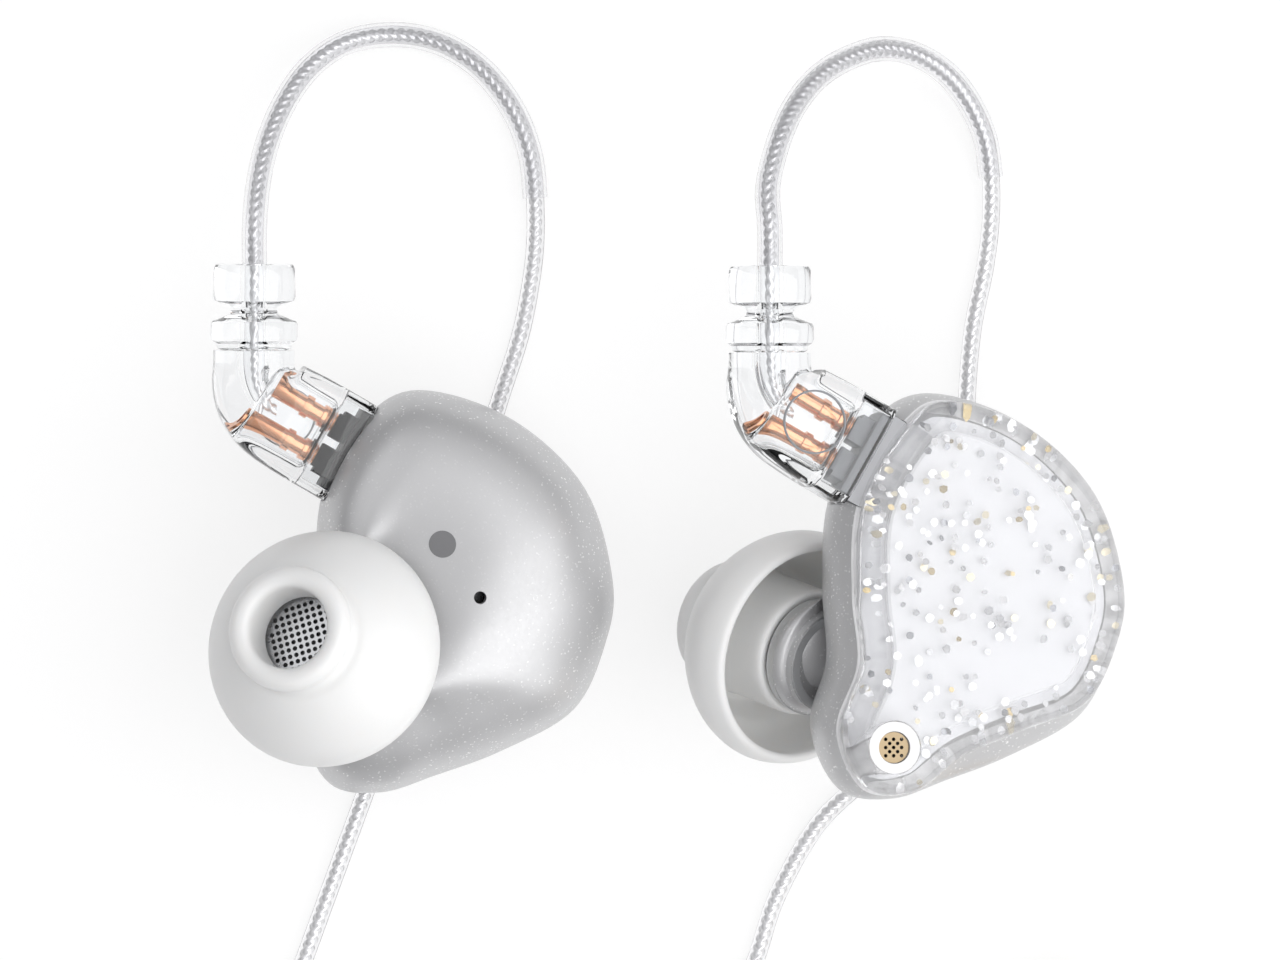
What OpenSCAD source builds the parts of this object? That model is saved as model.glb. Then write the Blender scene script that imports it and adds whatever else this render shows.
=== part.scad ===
// A pair of in-ear monitors with detachable two-pin cable, laid out on a table.
// Each monitor is built in its own frame: the outer face of its faceplate at z = 0,
// the ear side towards +z, and the middle of the faceplate at the origin.

/* [Shell] */
// Thickness of the shell's wall
shell_wall = 1.0; // [0.8:0.1:1.3]
// Thickness of the resin faceplate, up to its glue seam
plate_t = 2.0; // [1.8:0.1:2.4]
// Width of the clear rim round the white inlay
rim_w = 1.6; // [1.3:0.1:2.2]
// Thickness of the white inlay
inlay_t = 0.6; // [0.4:0.1:0.8]
// Diameter of the vent hole on the ear side
vent_d = 0.65; // [0.5:0.05:1.0]
// Outer diameter of the vent ring in the faceplate
vent_ring_d = 2.7; // [2.4:0.1:3.0]

/* [Nozzle and ear tip] */
// Outer diameter of the nozzle tube
nozzle_d = 5.2; // [4.6:0.1:5.6]
// Wall of the nozzle tube
nozzle_wall = 0.45; // [0.35:0.05:0.6]
// Length of the nozzle in front of the shell's neck
nozzle_l = 5.0; // [4.0:0.1:5.5]
// Widest diameter of the ear tip
tip_d = 12.4; // [11:0.1:14]
// Length of the ear tip
tip_l = 7.3; // [7:0.1:9]
// Diameter of the sound opening in the ear tip
tip_bore = 4.2; // [3.6:0.1:4.4]

/* [Driver] */
// Diameter of the dynamic driver
driver_d = 9.6; // [8.4:0.1:9.8]
// Travel of the diaphragm each way
cone_travel = 0.12; // [0.05:0.01:0.15]

/* [Plug] */
// Distance between the two pins
pin_pitch = 2.0; // [1.8:0.05:2.1]
// Diameter of a pin
pin_d = 0.78; // [0.7:0.02:0.8]
// Length of a pin in front of the plug
pin_l = 3.4; // [3.4:0.1:4.2]
// Width of the plug's end face
plug_w = 5.7; // [5.4:0.1:6]
// Thickness of the plug
plug_t = 4.0; // [3.8:0.1:4.2]
// Length of the plug from its end face to the middle of its bend
plug_reach = 5.8; // [5.4:0.1:6.4]
// Height of the strain relief's end over the middle of the bend
relief_rise = 7.0; // [6.5:0.1:8]

/* [Cable] */
// Diameter of each side cord
side_d = 0.94; // [0.8:0.02:1]
// Diameter of the clear hook sleeve
sleeve_d = 1.3; // [1.2:0.05:1.5]
// Diameter of the main cord
main_d = 1.7; // [1.5:0.1:1.8]
// Turns of each side cord side by side and on each other
side_turns = [2, 4];
// Turns of the main cord side by side and on each other
main_turns = [4, 4];
// Length of the chin slider
slider_l = 5; // [4:0.5:6]
// Diameter of the jack's pin
jack_d = 3.5; // [3.5:0.1:3.5]
// Length of the jack's pin
jack_l = 14; // [14:0.5:15]
// Diameter of the jack's barrel
barrel_d = 6.4; // [5.6:0.2:7]
// Length of the jack's barrel
barrel_l = 15; // [12:1:20]

/* [Hidden] */
SIDES = ["right", "left"];
MONITOR_PARTS = ["shell", "faceplate", "inlay", "vent_ring", "vent_mesh", "nozzle", "nozzle_mesh",
    "ear_tip", "driver_carrier", "driver_basket", "driver_yoke", "driver_magnet", "diaphragm",
    "driver_cover", "socket_block", "socket_contacts", "driver_leads", "plug_body", "plug_insert",
    "plug_pins", "cable_relief", "hook_sleeve", "side_cord", "side_coil"];
CABLE_PARTS = ["cord_tails", "chin_slider", "splitter", "main_cord", "main_coil", "coil_ties",
    "jack_barrel", "jack_relief", "jack_sleeve", "jack_ring", "jack_tip", "jack_insulators"];

$fn = 48;
eps = 0.01;
// Gap between glued or sliding neighbours
fit = 0.04;

// Where the two monitors lie, and how each one leans
right_at = [-11.2, 0.15, 0.9];
right_lean = [2.2, 6.5, 0];
left_at = [16.6, -0.2, 14.6];
left_lean = [0, 14, 0];

// The faceplate's bean outline and the fuller outline of the body behind it
plate_points = [[7.2, 0.6], [5.7, 5.3], [2.1, 8.8], [-2.3, 10.2], [-4.65, 8.6], [-6.75, 4.7],
    [-7.0, 0.2], [-6.7, -3.4], [-7.85, -6.8], [-6.55, -9.8], [-4.0, -10.0], [-1.5, -8.2],
    [1.7, -6.85], [5.1, -5.5], [6.75, -2.6]];
belly_points = [[7.65, 0.6], [6.15, 5.5], [2.3, 9.1], [-2.5, 10.6], [-5.4, 9.1], [-7.6, 5.2],
    [-7.9, 0.4], [-7.7, -3.4], [-8.6, -6.8], [-7.2, -9.9], [-4.5, -10.4], [-1.6, -9.5],
    [1.9, -8.2], [5.6, -6.1], [7.25, -2.7]];
outline_steps = 3;
// A point that sees the whole of either outline
outline_hub = [-1, -1];

// Neck end and nozzle direction
neck_at = [-7.2, -3.1, 8.6];
neck_dir = unit([-0.42, 0.24, 0.875]);
neck_r = 3.1;

// Body sections from the seam to the neck: centre x, y, z, share of the outline,
// share of the belly shape, share of the neck circle, turn towards the nozzle, slope of the wall
sections = [
    [0, 0, plate_t, 1, 0.1, 0, 0, 0],
    [0, 0, 3.0, 1, 0.8, 0, 0, 0],
    [0, 0, 4.2, 1, 1, 0, 0, 8],
    [-0.05, 0, 5.4, 0.975, 1, 0, 0, 22],
    [-0.2, -0.1, 6.6, 0.915, 1, 0, 0.02, 38],
    [-0.5, -0.2, 7.6, 0.82, 1, 0.03, 0.06, 52],
    [-1.1, -0.4, 8.35, 0.70, 1, 0.12, 0.16, 64],
    [-2.2, -0.9, 8.75, 0.60, 1, 0.3, 0.34, 66],
    [-3.7, -1.6, 8.75, 0.52, 1, 0.55, 0.6, 52],
    [-5.2, -2.3, 8.4, 0.46, 1, 0.8, 0.85, 30],
    [-6.3, -2.75, 8.1, 0.42, 1, 0.96, 0.97, 10],
    [-6.9, -3.0, 8.2, 0.42, 1, 1, 1, 0],
    [neck_at[0], neck_at[1], neck_at[2], 0.42, 1, 1, 1, 0]];
// The hollow stops two sections short of the neck's end
hollow_sections = len(sections) - 2;

// Plug seat on the shell: middle of the plug's end face, and the way the plug is pushed in
seat = [-6.1, 7.27, 3.3];
plug_turn = -30;
plug_dir = [cos(plug_turn), sin(plug_turn), 0];
branch_turn = 90 - plug_turn;
bend_r = 2.2;
mouth_l = 1.8;
insert_l = 1.5;
grip_ring_r = 1.66;
// Ends of the solder cups: the pin on the inner side of the bend clears the cord
inner_cup = 5.2;
outer_cup = 5.8;
// Point of a monitor's own frame in the layout
function leaned(p, lean) = let (y = p[1] * cos(lean[0]) - p[2] * sin(lean[0]),
        z = p[1] * sin(lean[0]) + p[2] * cos(lean[0]))
    [p[0] * cos(lean[1]) + z * sin(lean[1]), y, -p[0] * sin(lean[1]) + z * cos(lean[1])];
function placed(side, p) = side == "right" ? right_at + leaned(p, right_lean)
    : left_at + leaned([p[0], p[1], -p[2]], left_lean);
// End of the strain relief, and a point straight out of it
function relief_exit(side) = [for (out = [0, 2])
    placed(side, seat - plug_reach * plug_dir + [0, relief_rise + out, 0])];

// Cord routes, from each strain relief round the ear loop and under the shell to the coil
right_hook_route = concat(relief_exit("right"), [[-21.6, 21.5, 5.5], [-21.1, 23.7, 4.5],
    [-20.2, 25.8, 3.4], [-19.0, 27.5, 2.3], [-17.4, 28.7, 1.4], [-15.6, 29.2, 0.85],
    [-13.7, 29.2, 0.65], [-11.9, 28.7, 0.65], [-10.3, 27.7, 0.65], [-9.0, 26.3, 0.65],
    [-8.0, 24.6, 0.65], [-7.4, 22.7, 0.65], [-7.2, 20.7, 0.65]]);
right_cord_route = [[-7.2, 20.7, 0.65], [-7.2, 18.2, 0.5], [-7.5, 15.8, 0.47], [-8.0, 13.4, 0.47],
    [-8.9, 10.6, 0.47], [-9.8, 7.8, 0.47], [-10.8, 4.8, 0.47], [-11.8, 1.8, 0.47],
    [-12.8, -1.2, 0.47], [-13.9, -4.2, 0.47], [-14.9, -7.2, 0.47], [-16.0, -10.2, 0.47],
    [-17.1, -13.2, 0.47], [-18.2, -16.2, 0.47], [-19.3, -19.2, 0.5], [-20.4, -22.1, 0.6],
    [-21.05, -24.3, 0.7], [-21.2, -25.8, 0.72]];
left_hook_route = concat(relief_exit("left"), [[4.9, 21.0, 13.6], [5.4, 23.2, 12.6],
    [6.2, 25.1, 11.1], [7.4, 26.7, 9.4], [9.0, 27.8, 7.6], [10.9, 28.4, 5.8],
    [12.8, 28.1, 4.1], [14.4, 27.1, 2.7], [15.6, 25.6, 1.6], [16.4, 23.8, 0.95], [16.7, 21.8, 0.65]]);
left_cord_route = [[16.7, 21.8, 0.65], [16.7, 19.5, 0.5], [16.4, 17.0, 0.47], [15.8, 14.1, 0.47],
    [15.5, 11.1, 0.47], [15.4, 8.1, 0.47], [15.4, 5.1, 0.47], [15.4, 2.1, 0.47],
    [15.2, -0.9, 0.47], [14.6, -3.9, 0.47], [13.1, -6.9, 0.47], [10.3, -9.6, 0.47],
    [7.6, -12.2, 0.47], [5.5, -15.9, 0.47], [4.5, -18.9, 0.5], [3.4, -21.9, 0.6],
    [2.85, -24.2, 0.7], [2.73, -25.8, 0.72]];
// From the coils to the splitter, and the main cord's two free stretches
right_tail_route = [[-12.0, -34.97, 3.54], [-9.0, -35.0, 2.9], [-6.4, -35.6, 2.1],
    [-4.3, -37.0, 1.7], [-3.0, -39.2, 1.6], [-2.65, -41.5, 1.6], [-2.65, -55, 1.6]];
left_tail_route = [[2.73, -32.2, 3.54], [2.4, -34.6, 2.8], [1.3, -36.8, 2.0], [0.0, -38.6, 1.65],
    [-1.0, -40.2, 1.6], [-1.35, -42.0, 1.6], [-1.35, -55, 1.6]];
main_entry_route = [[-2, -64, 1.6], [-2, -65.2, 1.6], [-2, -67, 1.35], [-2, -68.8, 1.15]];
main_exit_route = [[21.15, -68.8, 6.15], [21.2, -66.5, 5.9], [21.3, -64.2, 5.1], [21.4, -61.8, 4.1],
    [21.4, -60, 3.4], [21.4, -58.3, 3.2], [21.4, -57, 3.2]];
cord_sides = 8;

// Coils, lifted by the thickness of the strap that holds them
tie_t = 0.25;
side_coil_r = 5.5;
right_coil_at = [-15.2, -29];
left_coil_at = [8.7, -29];
main_coil_r = 9;
main_coil_at = [9.6, -75];
pair_x = -2;
pair_gap = 1.3;
pair_z = 1.6;
slider_y = -44.8;
splitter_y = -55;
splitter_l = 9;
jack_at = [21.4, -57, 3.2];
jack_relief_l = 8;

// Thickness of the ledge that the faceplate is glued to
ledge_t = 0.45;
// Socket block behind the plug's seat
socket_l = 4.6;
socket_w = 5.0;
socket_t = 2.6;
// Middles of the vent ring in the faceplate and of the vent hole on the ear side
vent_at = [-5.3, -7.7];
ear_vent_at = [0.15, 0];

// Driver: place of its axis, height of its foot, and its magnet system
driver_at = [1.15, -0.35];
driver_z = 2.9;
driver_h = 2.9;
yoke_d = 5.8;
yoke_h = 1.7;
yoke_floor = 0.4;
magnet_d = 3.5;
voice_coil_d = 4.1;
// Lowest point of the voice coil at rest
voice_coil_foot = yoke_floor + 0.38 + cone_travel;

// Nozzle collar and the stem glued into the neck
collar_t = 0.5;
stem_l = 1.2;

// Jack: depth of its core in the barrel, barrel face, and the ends of its contacts along the pin
jack_in = 4;
jack_core_r = 1.55;
jack_face = jack_relief_l + barrel_l;
jr = jack_d / 2;
sleeve_end = 6.2;
ring_from = 6.8;
ring_end = 9.6;
tip_from = 10.2;

function unit(v) = v / norm(v);
function mix(a, b, t) = a + (b - a) * t;
function spline(p0, p1, p2, p3, t) = 0.5 * ((2 * p1) + (p2 - p0) * t
    + (2 * p0 - 5 * p1 + 4 * p2 - p3) * t * t + (3 * p1 - p0 - 3 * p2 + p3) * t * t * t);
// Closed smooth curve through a ring of points
function closed_curve(p, steps) = let (n = len(p))
    [for (i = [0:n - 1], s = [0:steps - 1])
        spline(p[(i + n - 1) % n], p[i], p[(i + 1) % n], p[(i + 2) % n], s / steps)];
// Ring of points moved inwards by d along its own normals
function inset(p, d) = let (n = len(p)) [for (i = [0:n - 1])
    let (t = unit(p[(i + 1) % n] - p[(i + n - 1) % n])) p[i] + d * [-t[1], t[0]]];
plate_curve = closed_curve(plate_points, outline_steps);
belly_curve = closed_curve(belly_points, outline_steps);

// Turns a point from the z axis towards the nozzle's direction
neck_tilt = acos(neck_dir[2]);
neck_heading = atan2(neck_dir[1], neck_dir[0]);
function turned(p, a) = let (h = neck_heading,
    u = p[0] * cos(h) + p[1] * sin(h),
    v = -p[0] * sin(h) + p[1] * cos(h),
    w = u * cos(a),
    z = -u * sin(a)) [w * cos(h) - v * sin(h), w * sin(h) + v * cos(h), z];
// One body section, moved inwards by the wall
function body_ring(s, wall) =
    let (bean = inset(mix(plate_curve, belly_curve, s[4]), wall * cos(s[7])),
        drop = [0, 0, -wall * sin(s[7])])
    [for (p = bean)
        let (a = atan2(p[1] - outline_hub[1], p[0] - outline_hub[0]),
            round_p = (neck_r - wall * cos(s[7])) * [cos(a), sin(a)],
            flat = mix(p * s[3], round_p, s[5]))
        [s[0], s[1], s[2]] + drop + turned(flat, neck_tilt * s[6])];

// Closed solid through a stack of rings, with a fan at each end
module loft(rings) {
    n = len(rings[0]);
    m = len(rings);
    function middle(r) = [for (k = [0:2]) let (c = [for (p = r) p[k]]) c * [for (p = r) 1] / n];
    points = concat([for (r = rings) each r], [middle(rings[0]), middle(rings[m - 1])]);
    faces = concat(
        [for (i = [0:m - 2], j = [0:n - 1]) each
            let (a = i * n + j, b = i * n + (j + 1) % n) [[a, a + n, b + n], [a, b + n, b]]],
        [for (j = [0:n - 1]) [m * n, j, (j + 1) % n]],
        [for (j = [0:n - 1]) [m * n + 1, (m - 1) * n + (j + 1) % n, (m - 1) * n + j]]);
    polyhedron(points, faces);
}

// Round tube swept along a route's own points; the ends are square to the route
module cord(route, d) {
    n = len(route);
    function ahead(i) = unit(route[min(i + 1, n - 1)] - route[max(i - 1, 0)]);
    loft([for (i = [0:n - 1])
        let (t = ahead(i), side = unit(cross([0, 0, 1], t)), up = cross(t, side))
        [for (k = [0:cord_sides - 1])
            let (a = -360 * (k + 0.5) / cord_sides) route[i] + d / 2 * (side * cos(a) + up * sin(a))]]);
}

module on_right() translate(right_at) rotate(right_lean) children();
module on_left() translate(left_at) rotate(left_lean) mirror([0, 0, 1]) children();
module place(side) {
    if (side == "right") on_right() children();
    else on_left() children();
}
// Frame of the nozzle: z along it, from the neck's end face
module at_neck() {
    translate(neck_at) rotate([0, neck_tilt, neck_heading]) children();
}
// Frame of the plug: x into the shell, from the plug's end face
module at_seat() translate(seat) rotate([0, 0, plug_turn]) children();
// Frame of the plug's cable branch: z up the branch, from the middle of the bend
module at_branch() at_seat() translate([-plug_reach, 0, 0]) rotate([0, 0, branch_turn])
    rotate([0, 90, 0]) children();
module both_pins() for (s = [-1, 1]) translate([0, s * pin_pitch / 2, 0]) rotate([0, 90, 0]) children();
module slab(size, r) linear_extrude(size[2], center = true) offset(r = r, $fn = 32)
    square([size[0] - 2 * r, size[1] - 2 * r], center = true);

/* ---- one monitor ---- */
// Ledge inside the shell's mouth, under the edge of the inlay
module glue_ledge() translate([0, 0, plate_t]) linear_extrude(ledge_t) difference() {
    polygon(inset(plate_curve, shell_wall - 0.1));
    polygon(inset(plate_curve, rim_w + 0.12));
}
module shell() color("gainsboro") difference() {
    union() {
        difference() {
            loft([for (s = sections) body_ring(s, 0)]);
            loft(concat([[for (p = body_ring(sections[0], shell_wall)) p - [0, 0, 0.5]]],
                [for (i = [0:hollow_sections - 1]) body_ring(sections[i], shell_wall)]));
        }
        glue_ledge();
    }
    at_neck() cylinder(r = nozzle_d / 2 + fit, h = 8, center = true);
    at_seat() {
        translate([-2, 0, 0]) cube([4, plug_w + 0.3, plug_t + 0.3], center = true);
        cube([8, socket_w + 2 * fit, socket_t + 2 * fit], center = true);
    }
    translate([ear_vent_at[0], ear_vent_at[1], 6]) cylinder(d = vent_d, h = 5);
}

module faceplate() color([0.93, 0.94, 0.95, 0.5]) difference() {
    loft([for (s = [[0, 1.0], [0.12, 0.6], [0.4, 0.2], [0.8, 0], [plate_t, 0]])
        [for (p = inset(plate_curve, s[1])) [p[0], p[1], s[0]]]]);
    translate([0, 0, plate_t - inlay_t - fit]) linear_extrude(2)
        polygon(inset(plate_curve, rim_w - fit));
    translate([vent_at[0], vent_at[1], -1]) cylinder(d = vent_ring_d + 2 * fit, h = 4);
}

module inlay() color("whitesmoke") difference() {
    translate([0, 0, plate_t - inlay_t]) linear_extrude(inlay_t) polygon(inset(plate_curve, rim_w));
    translate([vent_at[0], vent_at[1], -1]) cylinder(d = vent_ring_d + 2 * fit, h = 4);
}

module vent_ring() color("white") translate([vent_at[0], vent_at[1], 0]) difference() {
    translate([0, 0, 0.1]) cylinder(d = vent_ring_d, h = plate_t - 0.1);
    cylinder(d = 1.3, h = 4);
    cylinder(d = 1.6 + 2 * fit, h = 0.5);
}

// Punched disc: round holes in a square grid turned by 45 degrees
module punched(d, t, pitch, hole_d) linear_extrude(t) difference() {
    circle(d = d);
    reach = floor(d / pitch / 2);
    rotate(45) for (i = [-reach:reach], j = [-reach:reach])
        if (norm([i, j]) * pitch < d / 2 - hole_d) translate([i, j] * pitch) circle(d = hole_d, $fn = 8);
}

module vent_mesh() color("silver") translate([vent_at[0], vent_at[1], 0.3]) punched(1.6, 0.15, 0.3, 0.2);

module nozzle() color("lightgray") at_neck() rotate_extrude() polygon([
    [nozzle_d / 2 - nozzle_wall, -stem_l], [nozzle_d / 2, -stem_l], [nozzle_d / 2, 0],
    [neck_r - 0.1, 0], [neck_r - 0.1, collar_t], [nozzle_d / 2, collar_t],
    [nozzle_d / 2, nozzle_l - 0.25], [nozzle_d / 2 - 0.15, nozzle_l],
    [nozzle_d / 2 - 0.3, nozzle_l], [nozzle_d / 2 - 0.3, nozzle_l - 0.3],
    [nozzle_d / 2 - nozzle_wall, nozzle_l - 0.3]]);

module nozzle_mesh() color("silver") at_neck() translate([0, 0, nozzle_l - 0.3])
    punched(nozzle_d - 0.6 - 2 * fit, 0.2, 0.35, 0.26);

module ear_tip() color("white") at_neck() translate([0, 0, collar_t + 0.25]) rotate_extrude()
    polygon([[nozzle_d / 2 + fit, 0.2], [nozzle_d / 2 + 0.7, 0], [nozzle_d / 2 + 0.75, tip_l - 2.7],
        [nozzle_d / 2 + 1.1, tip_l - 2.5], [tip_d / 2 - 1.75, tip_l - 3.6], [tip_d / 2 - 1.0, 2.7],
        [tip_d / 2 - 0.65, 1.4], [tip_d / 2 - 0.8, 0.2], [tip_d / 2 - 0.5, 0],
        [tip_d / 2 - 0.15, 0.5], [tip_d / 2, 1.5], [tip_d / 2 - 0.35, 2.9],
        [tip_d / 2 - 1.05, tip_l - 3.2], [tip_d / 2 - 2.0, tip_l - 1.9], [tip_d / 2 - 2.75, tip_l - 0.9],
        [tip_bore / 2 + 1.0, tip_l - 0.25], [tip_bore / 2 + 0.6, tip_l], [tip_bore / 2 + 0.15, tip_l - 0.1],
        [tip_bore / 2, tip_l - 0.5], [tip_bore / 2, nozzle_l - collar_t],
        [nozzle_d / 2 + fit, nozzle_l - collar_t]]);

module driver_carrier() color("dimgray") difference() {
    translate([0, 0, 3.4]) linear_extrude(0.7) polygon(inset(plate_curve, shell_wall + 0.15));
    translate([driver_at[0], driver_at[1], 0]) cylinder(d = driver_d + 2 * fit, h = 9);
    at_seat() cube([11, socket_w + 0.4, socket_t + 0.4], center = true);
}

module at_driver() translate([driver_at[0], driver_at[1], driver_z]) children();
module driver_basket() color("silver") at_driver() rotate_extrude() polygon([
    [yoke_d / 2 + fit, 0.4], [driver_d / 2 - 0.3, 0.8], [driver_d / 2, 0.8], [driver_d / 2, driver_h],
    [driver_d / 2 - 0.3, driver_h], [driver_d / 2 - 0.3, 1.2], [yoke_d / 2 + fit, 0.8]]);
module driver_yoke() color("slategray") at_driver() rotate_extrude() polygon([[0, 0], [yoke_d / 2, 0],
    [yoke_d / 2, yoke_h], [yoke_d / 2 - 0.45, yoke_h], [yoke_d / 2 - 0.45, yoke_floor], [0, yoke_floor]]);
module driver_magnet() color("gray") at_driver() translate([0, 0, yoke_floor])
    cylinder(d = magnet_d, h = yoke_h - yoke_floor);
module diaphragm() color("goldenrod") at_driver() rotate_extrude() polygon([
    [0, 2.3], [0.9, 2.2], [voice_coil_d / 2 - 0.08, 1.95], [voice_coil_d / 2 - 0.08, voice_coil_foot],
    [voice_coil_d / 2 + 0.08, voice_coil_foot], [voice_coil_d / 2 + 0.08, 1.9], [3.2, 2.2], [3.9, 2.2], [driver_d / 2 - 0.4, 2.0],
    [driver_d / 2 - 0.4, 2.08], [3.9, 2.3], [3.2, 2.3], [voice_coil_d / 2, 2.03], [0.9, 2.3], [0, 2.4]]);
module driver_cover() color("silver") at_driver() translate([0, 0, driver_h]) difference() {
    cylinder(d = driver_d, h = 0.25);
    for (a = [0:60:300]) rotate(a) translate([2.4, 0, -eps]) cylinder(d = 1.1, h = 1);
    translate([0, 0, -eps]) cylinder(d = 1.1, h = 1);
}

module socket_block() color("dimgray") at_seat() difference() {
    translate([fit + socket_l / 2, 0, 0]) cube([socket_l, socket_w, socket_t], center = true);
    both_pins() cylinder(d = pin_d + 0.52, h = 12, center = true);
}
module socket_contacts() color("gold") at_seat() both_pins() difference() {
    translate([0, 0, fit + 0.3]) cylinder(d = pin_d + 0.5, h = socket_l + 0.3);
    translate([0, 0, -1]) cylinder(d = pin_d + 0.06, h = 1 + pin_l + 0.3);
}
module driver_leads() color("goldenrod") for (s = [-1, 1])
    cord([[seat[0] + plug_dir[0] * 5.26 + s * 0.5, seat[1] + plug_dir[1] * 5.26 + s * 0.866, seat[2]],
        [-0.4 + s * 0.5, 4.4 + s * 0.866, 2.75], [0.2 + s * 0.7, 3.2, 2.65], [1.15 + s * 0.7, 1.8, 2.7]], 0.3);

/* ---- plug and strain relief ---- */
module plug_body() color([0.9, 0.92, 0.94, 0.45]) at_seat() difference() {
    union() {
        hull() {
            translate([-0.05, 0, 0]) rotate([0, 90, 0]) slab([plug_t, plug_w, 0.1], 0.7);
            translate([-4.2, 0, 0]) rotate([0, 90, 0]) slab([plug_t, plug_w - 0.3, 0.1], 0.9);
        }
        hull() {
            translate([-4.2, 0, 0]) rotate([0, 90, 0]) slab([plug_t, plug_w - 0.3, 0.1], 0.9);
            translate([-plug_reach, 0, 0]) sphere(r = bend_r - 0.1, $fn = 24);
            translate([-plug_reach, 0, 0]) rotate([0, 0, branch_turn]) translate([2.4, 0, 0])
                rotate([0, 90, 0]) cylinder(r = bend_r - 0.1, h = 0.1, $fn = 32);
        }
        translate([-3.65, 0, 0.1 - plug_t / 2]) rotate([180, 0, 0]) rotate_extrude()
            translate([grip_ring_r - 0.16, 0]) square([0.16, 0.2]);
    }
    translate([-mouth_l / 2 + eps, 0, 0]) cube([mouth_l + eps, plug_w - 1.1, plug_t - 1.1], center = true);
    translate([-3.7, 0, 0]) cube([4.4, 3.8, 1.7], center = true);
    translate([-plug_reach, 0, 0]) rotate([0, 0, branch_turn]) rotate([0, 90, 0]) {
        cylinder(d = side_d + 0.3, h = 6);
        sphere(d = side_d + 0.3);
    }
}
module plug_insert() color([0.1, 0.1, 0.1]) at_seat() difference() {
    union() {
        translate([-0.375, 0, 0]) cube([0.55, plug_w - 1.2, plug_t - 1.2], center = true);
        for (s = [-1, 1]) translate([-0.1 - insert_l / 2, s * pin_pitch / 2, 0])
            cube([insert_l, 1.55, plug_t - 2], center = true);
    }
    both_pins() cylinder(d = 0.98, h = 12, center = true);
}
module plug_pins() color([0.83, 0.6, 0.45]) at_seat() for (s = [-1, 1])
    translate([0, s * pin_pitch / 2, 0]) rotate([0, 90, 0]) rotate_extrude() polygon([
    [0, -3.6], [0.3, -3.6], [0.3, s > 0 ? -inner_cup : -outer_cup], [0.47, s > 0 ? -inner_cup : -outer_cup],
    [0.47, -3.4], [0.6, -3.4], [0.6, -3.0], [0.47, -3.0],
    [0.47, -2.3], [0.6, -2.3], [0.6, -1.8], [0.48, -1.8], [0.48, -0.1], [pin_d / 2, -0.1],
    [pin_d / 2, pin_l - 0.3], [pin_d / 2 - 0.2, pin_l], [0, pin_l]]);
module cable_relief() color([0.9, 0.92, 0.94, 0.45]) at_branch() rotate_extrude() polygon([
    [side_d / 2 + fit, 2.55], [2.0, 2.55], [2.0, 2.95], [2.25, 3.05], [2.25, 4.0], [1.95, 4.1], [1.75, 4.25],
    [1.75, 4.8], [1.95, 4.95], [2.1, 5.1], [2.1, relief_rise - 0.15], [1.95, relief_rise],
    [side_d / 2 + fit, relief_rise]]);
// Cord inside the relief and the plug, and its two soldered ends
module cord_tail() color("silver") at_branch() {
    cylinder(d = side_d, h = relief_rise);
    sphere(d = side_d);
}

/* ---- cable ---- */
module coil(at, r, d, turns) color("white") translate([at[0], at[1], tie_t])
    rotate_extrude() translate([r - turns[0] * d / 2, 0]) square([turns[0] * d, turns[1] * d]);
// Strap round a coil: w wide along the turns, at the angle a
module tie(at, r, d, turns, w, a) {
    size = [turns[0] * d, turns[1] * d];
    translate([at[0], at[1], 0]) rotate(a) rotate_extrude(angle = w / r * 180 / PI)
        translate([r - size[0] / 2 - tie_t, 0]) difference() {
            square(size + 2 * [tie_t, tie_t]);
            translate([tie_t, tie_t]) square(size);
        }
}
module coil_ties() color("dimgray") {
    tie(right_coil_at, side_coil_r, side_d, side_turns, 2, -10);
    tie(left_coil_at, side_coil_r, side_d, side_turns, 2, -10);
    tie(main_coil_at, main_coil_r, main_d, main_turns, 3, -100);
}
module pair_bores(d, l) for (s = [-1, 1]) translate([pair_x + s * pair_gap / 2, 0, pair_z])
    rotate([90, 0, 0]) cylinder(d = d, h = l, center = true);
module chin_slider() color([0.9, 0.92, 0.94, 0.6]) translate([0, slider_y, 0]) difference() {
    translate([pair_x, 0, pair_z]) rotate([90, 0, 0]) slab([3.6, 2.4, slider_l], 1.1);
    pair_bores(side_d + 0.1, 20);
}
module splitter() color("silver") difference() {
    translate([pair_x, splitter_y - splitter_l / 2, pair_z]) rotate([90, 0, 0]) slab([4.4, 3.2, splitter_l], 1.4);
    translate([0, splitter_y, 0]) pair_bores(side_d + 0.2, eps);
}
module at_jack() translate(jack_at) rotate([-90, 0, 0]) children();
module jack_relief() color("white") at_jack() rotate_extrude() polygon([[0, 0], [main_d / 2 + 0.25, 0],
    [main_d / 2 + 0.35, 0.3], [barrel_d / 2 - 1.2, jack_relief_l], [0, jack_relief_l]]);
module jack_barrel() color("silver") at_jack() rotate_extrude() polygon([[0, jack_relief_l],
    [barrel_d / 2 - 0.4, jack_relief_l], [barrel_d / 2, jack_relief_l + 0.4], [barrel_d / 2, jack_face - 1.2],
    [barrel_d / 2 - 0.6, jack_face], [jack_core_r, jack_face], [jack_core_r, jack_face - jack_in],
    [0, jack_face - jack_in]]);
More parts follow.
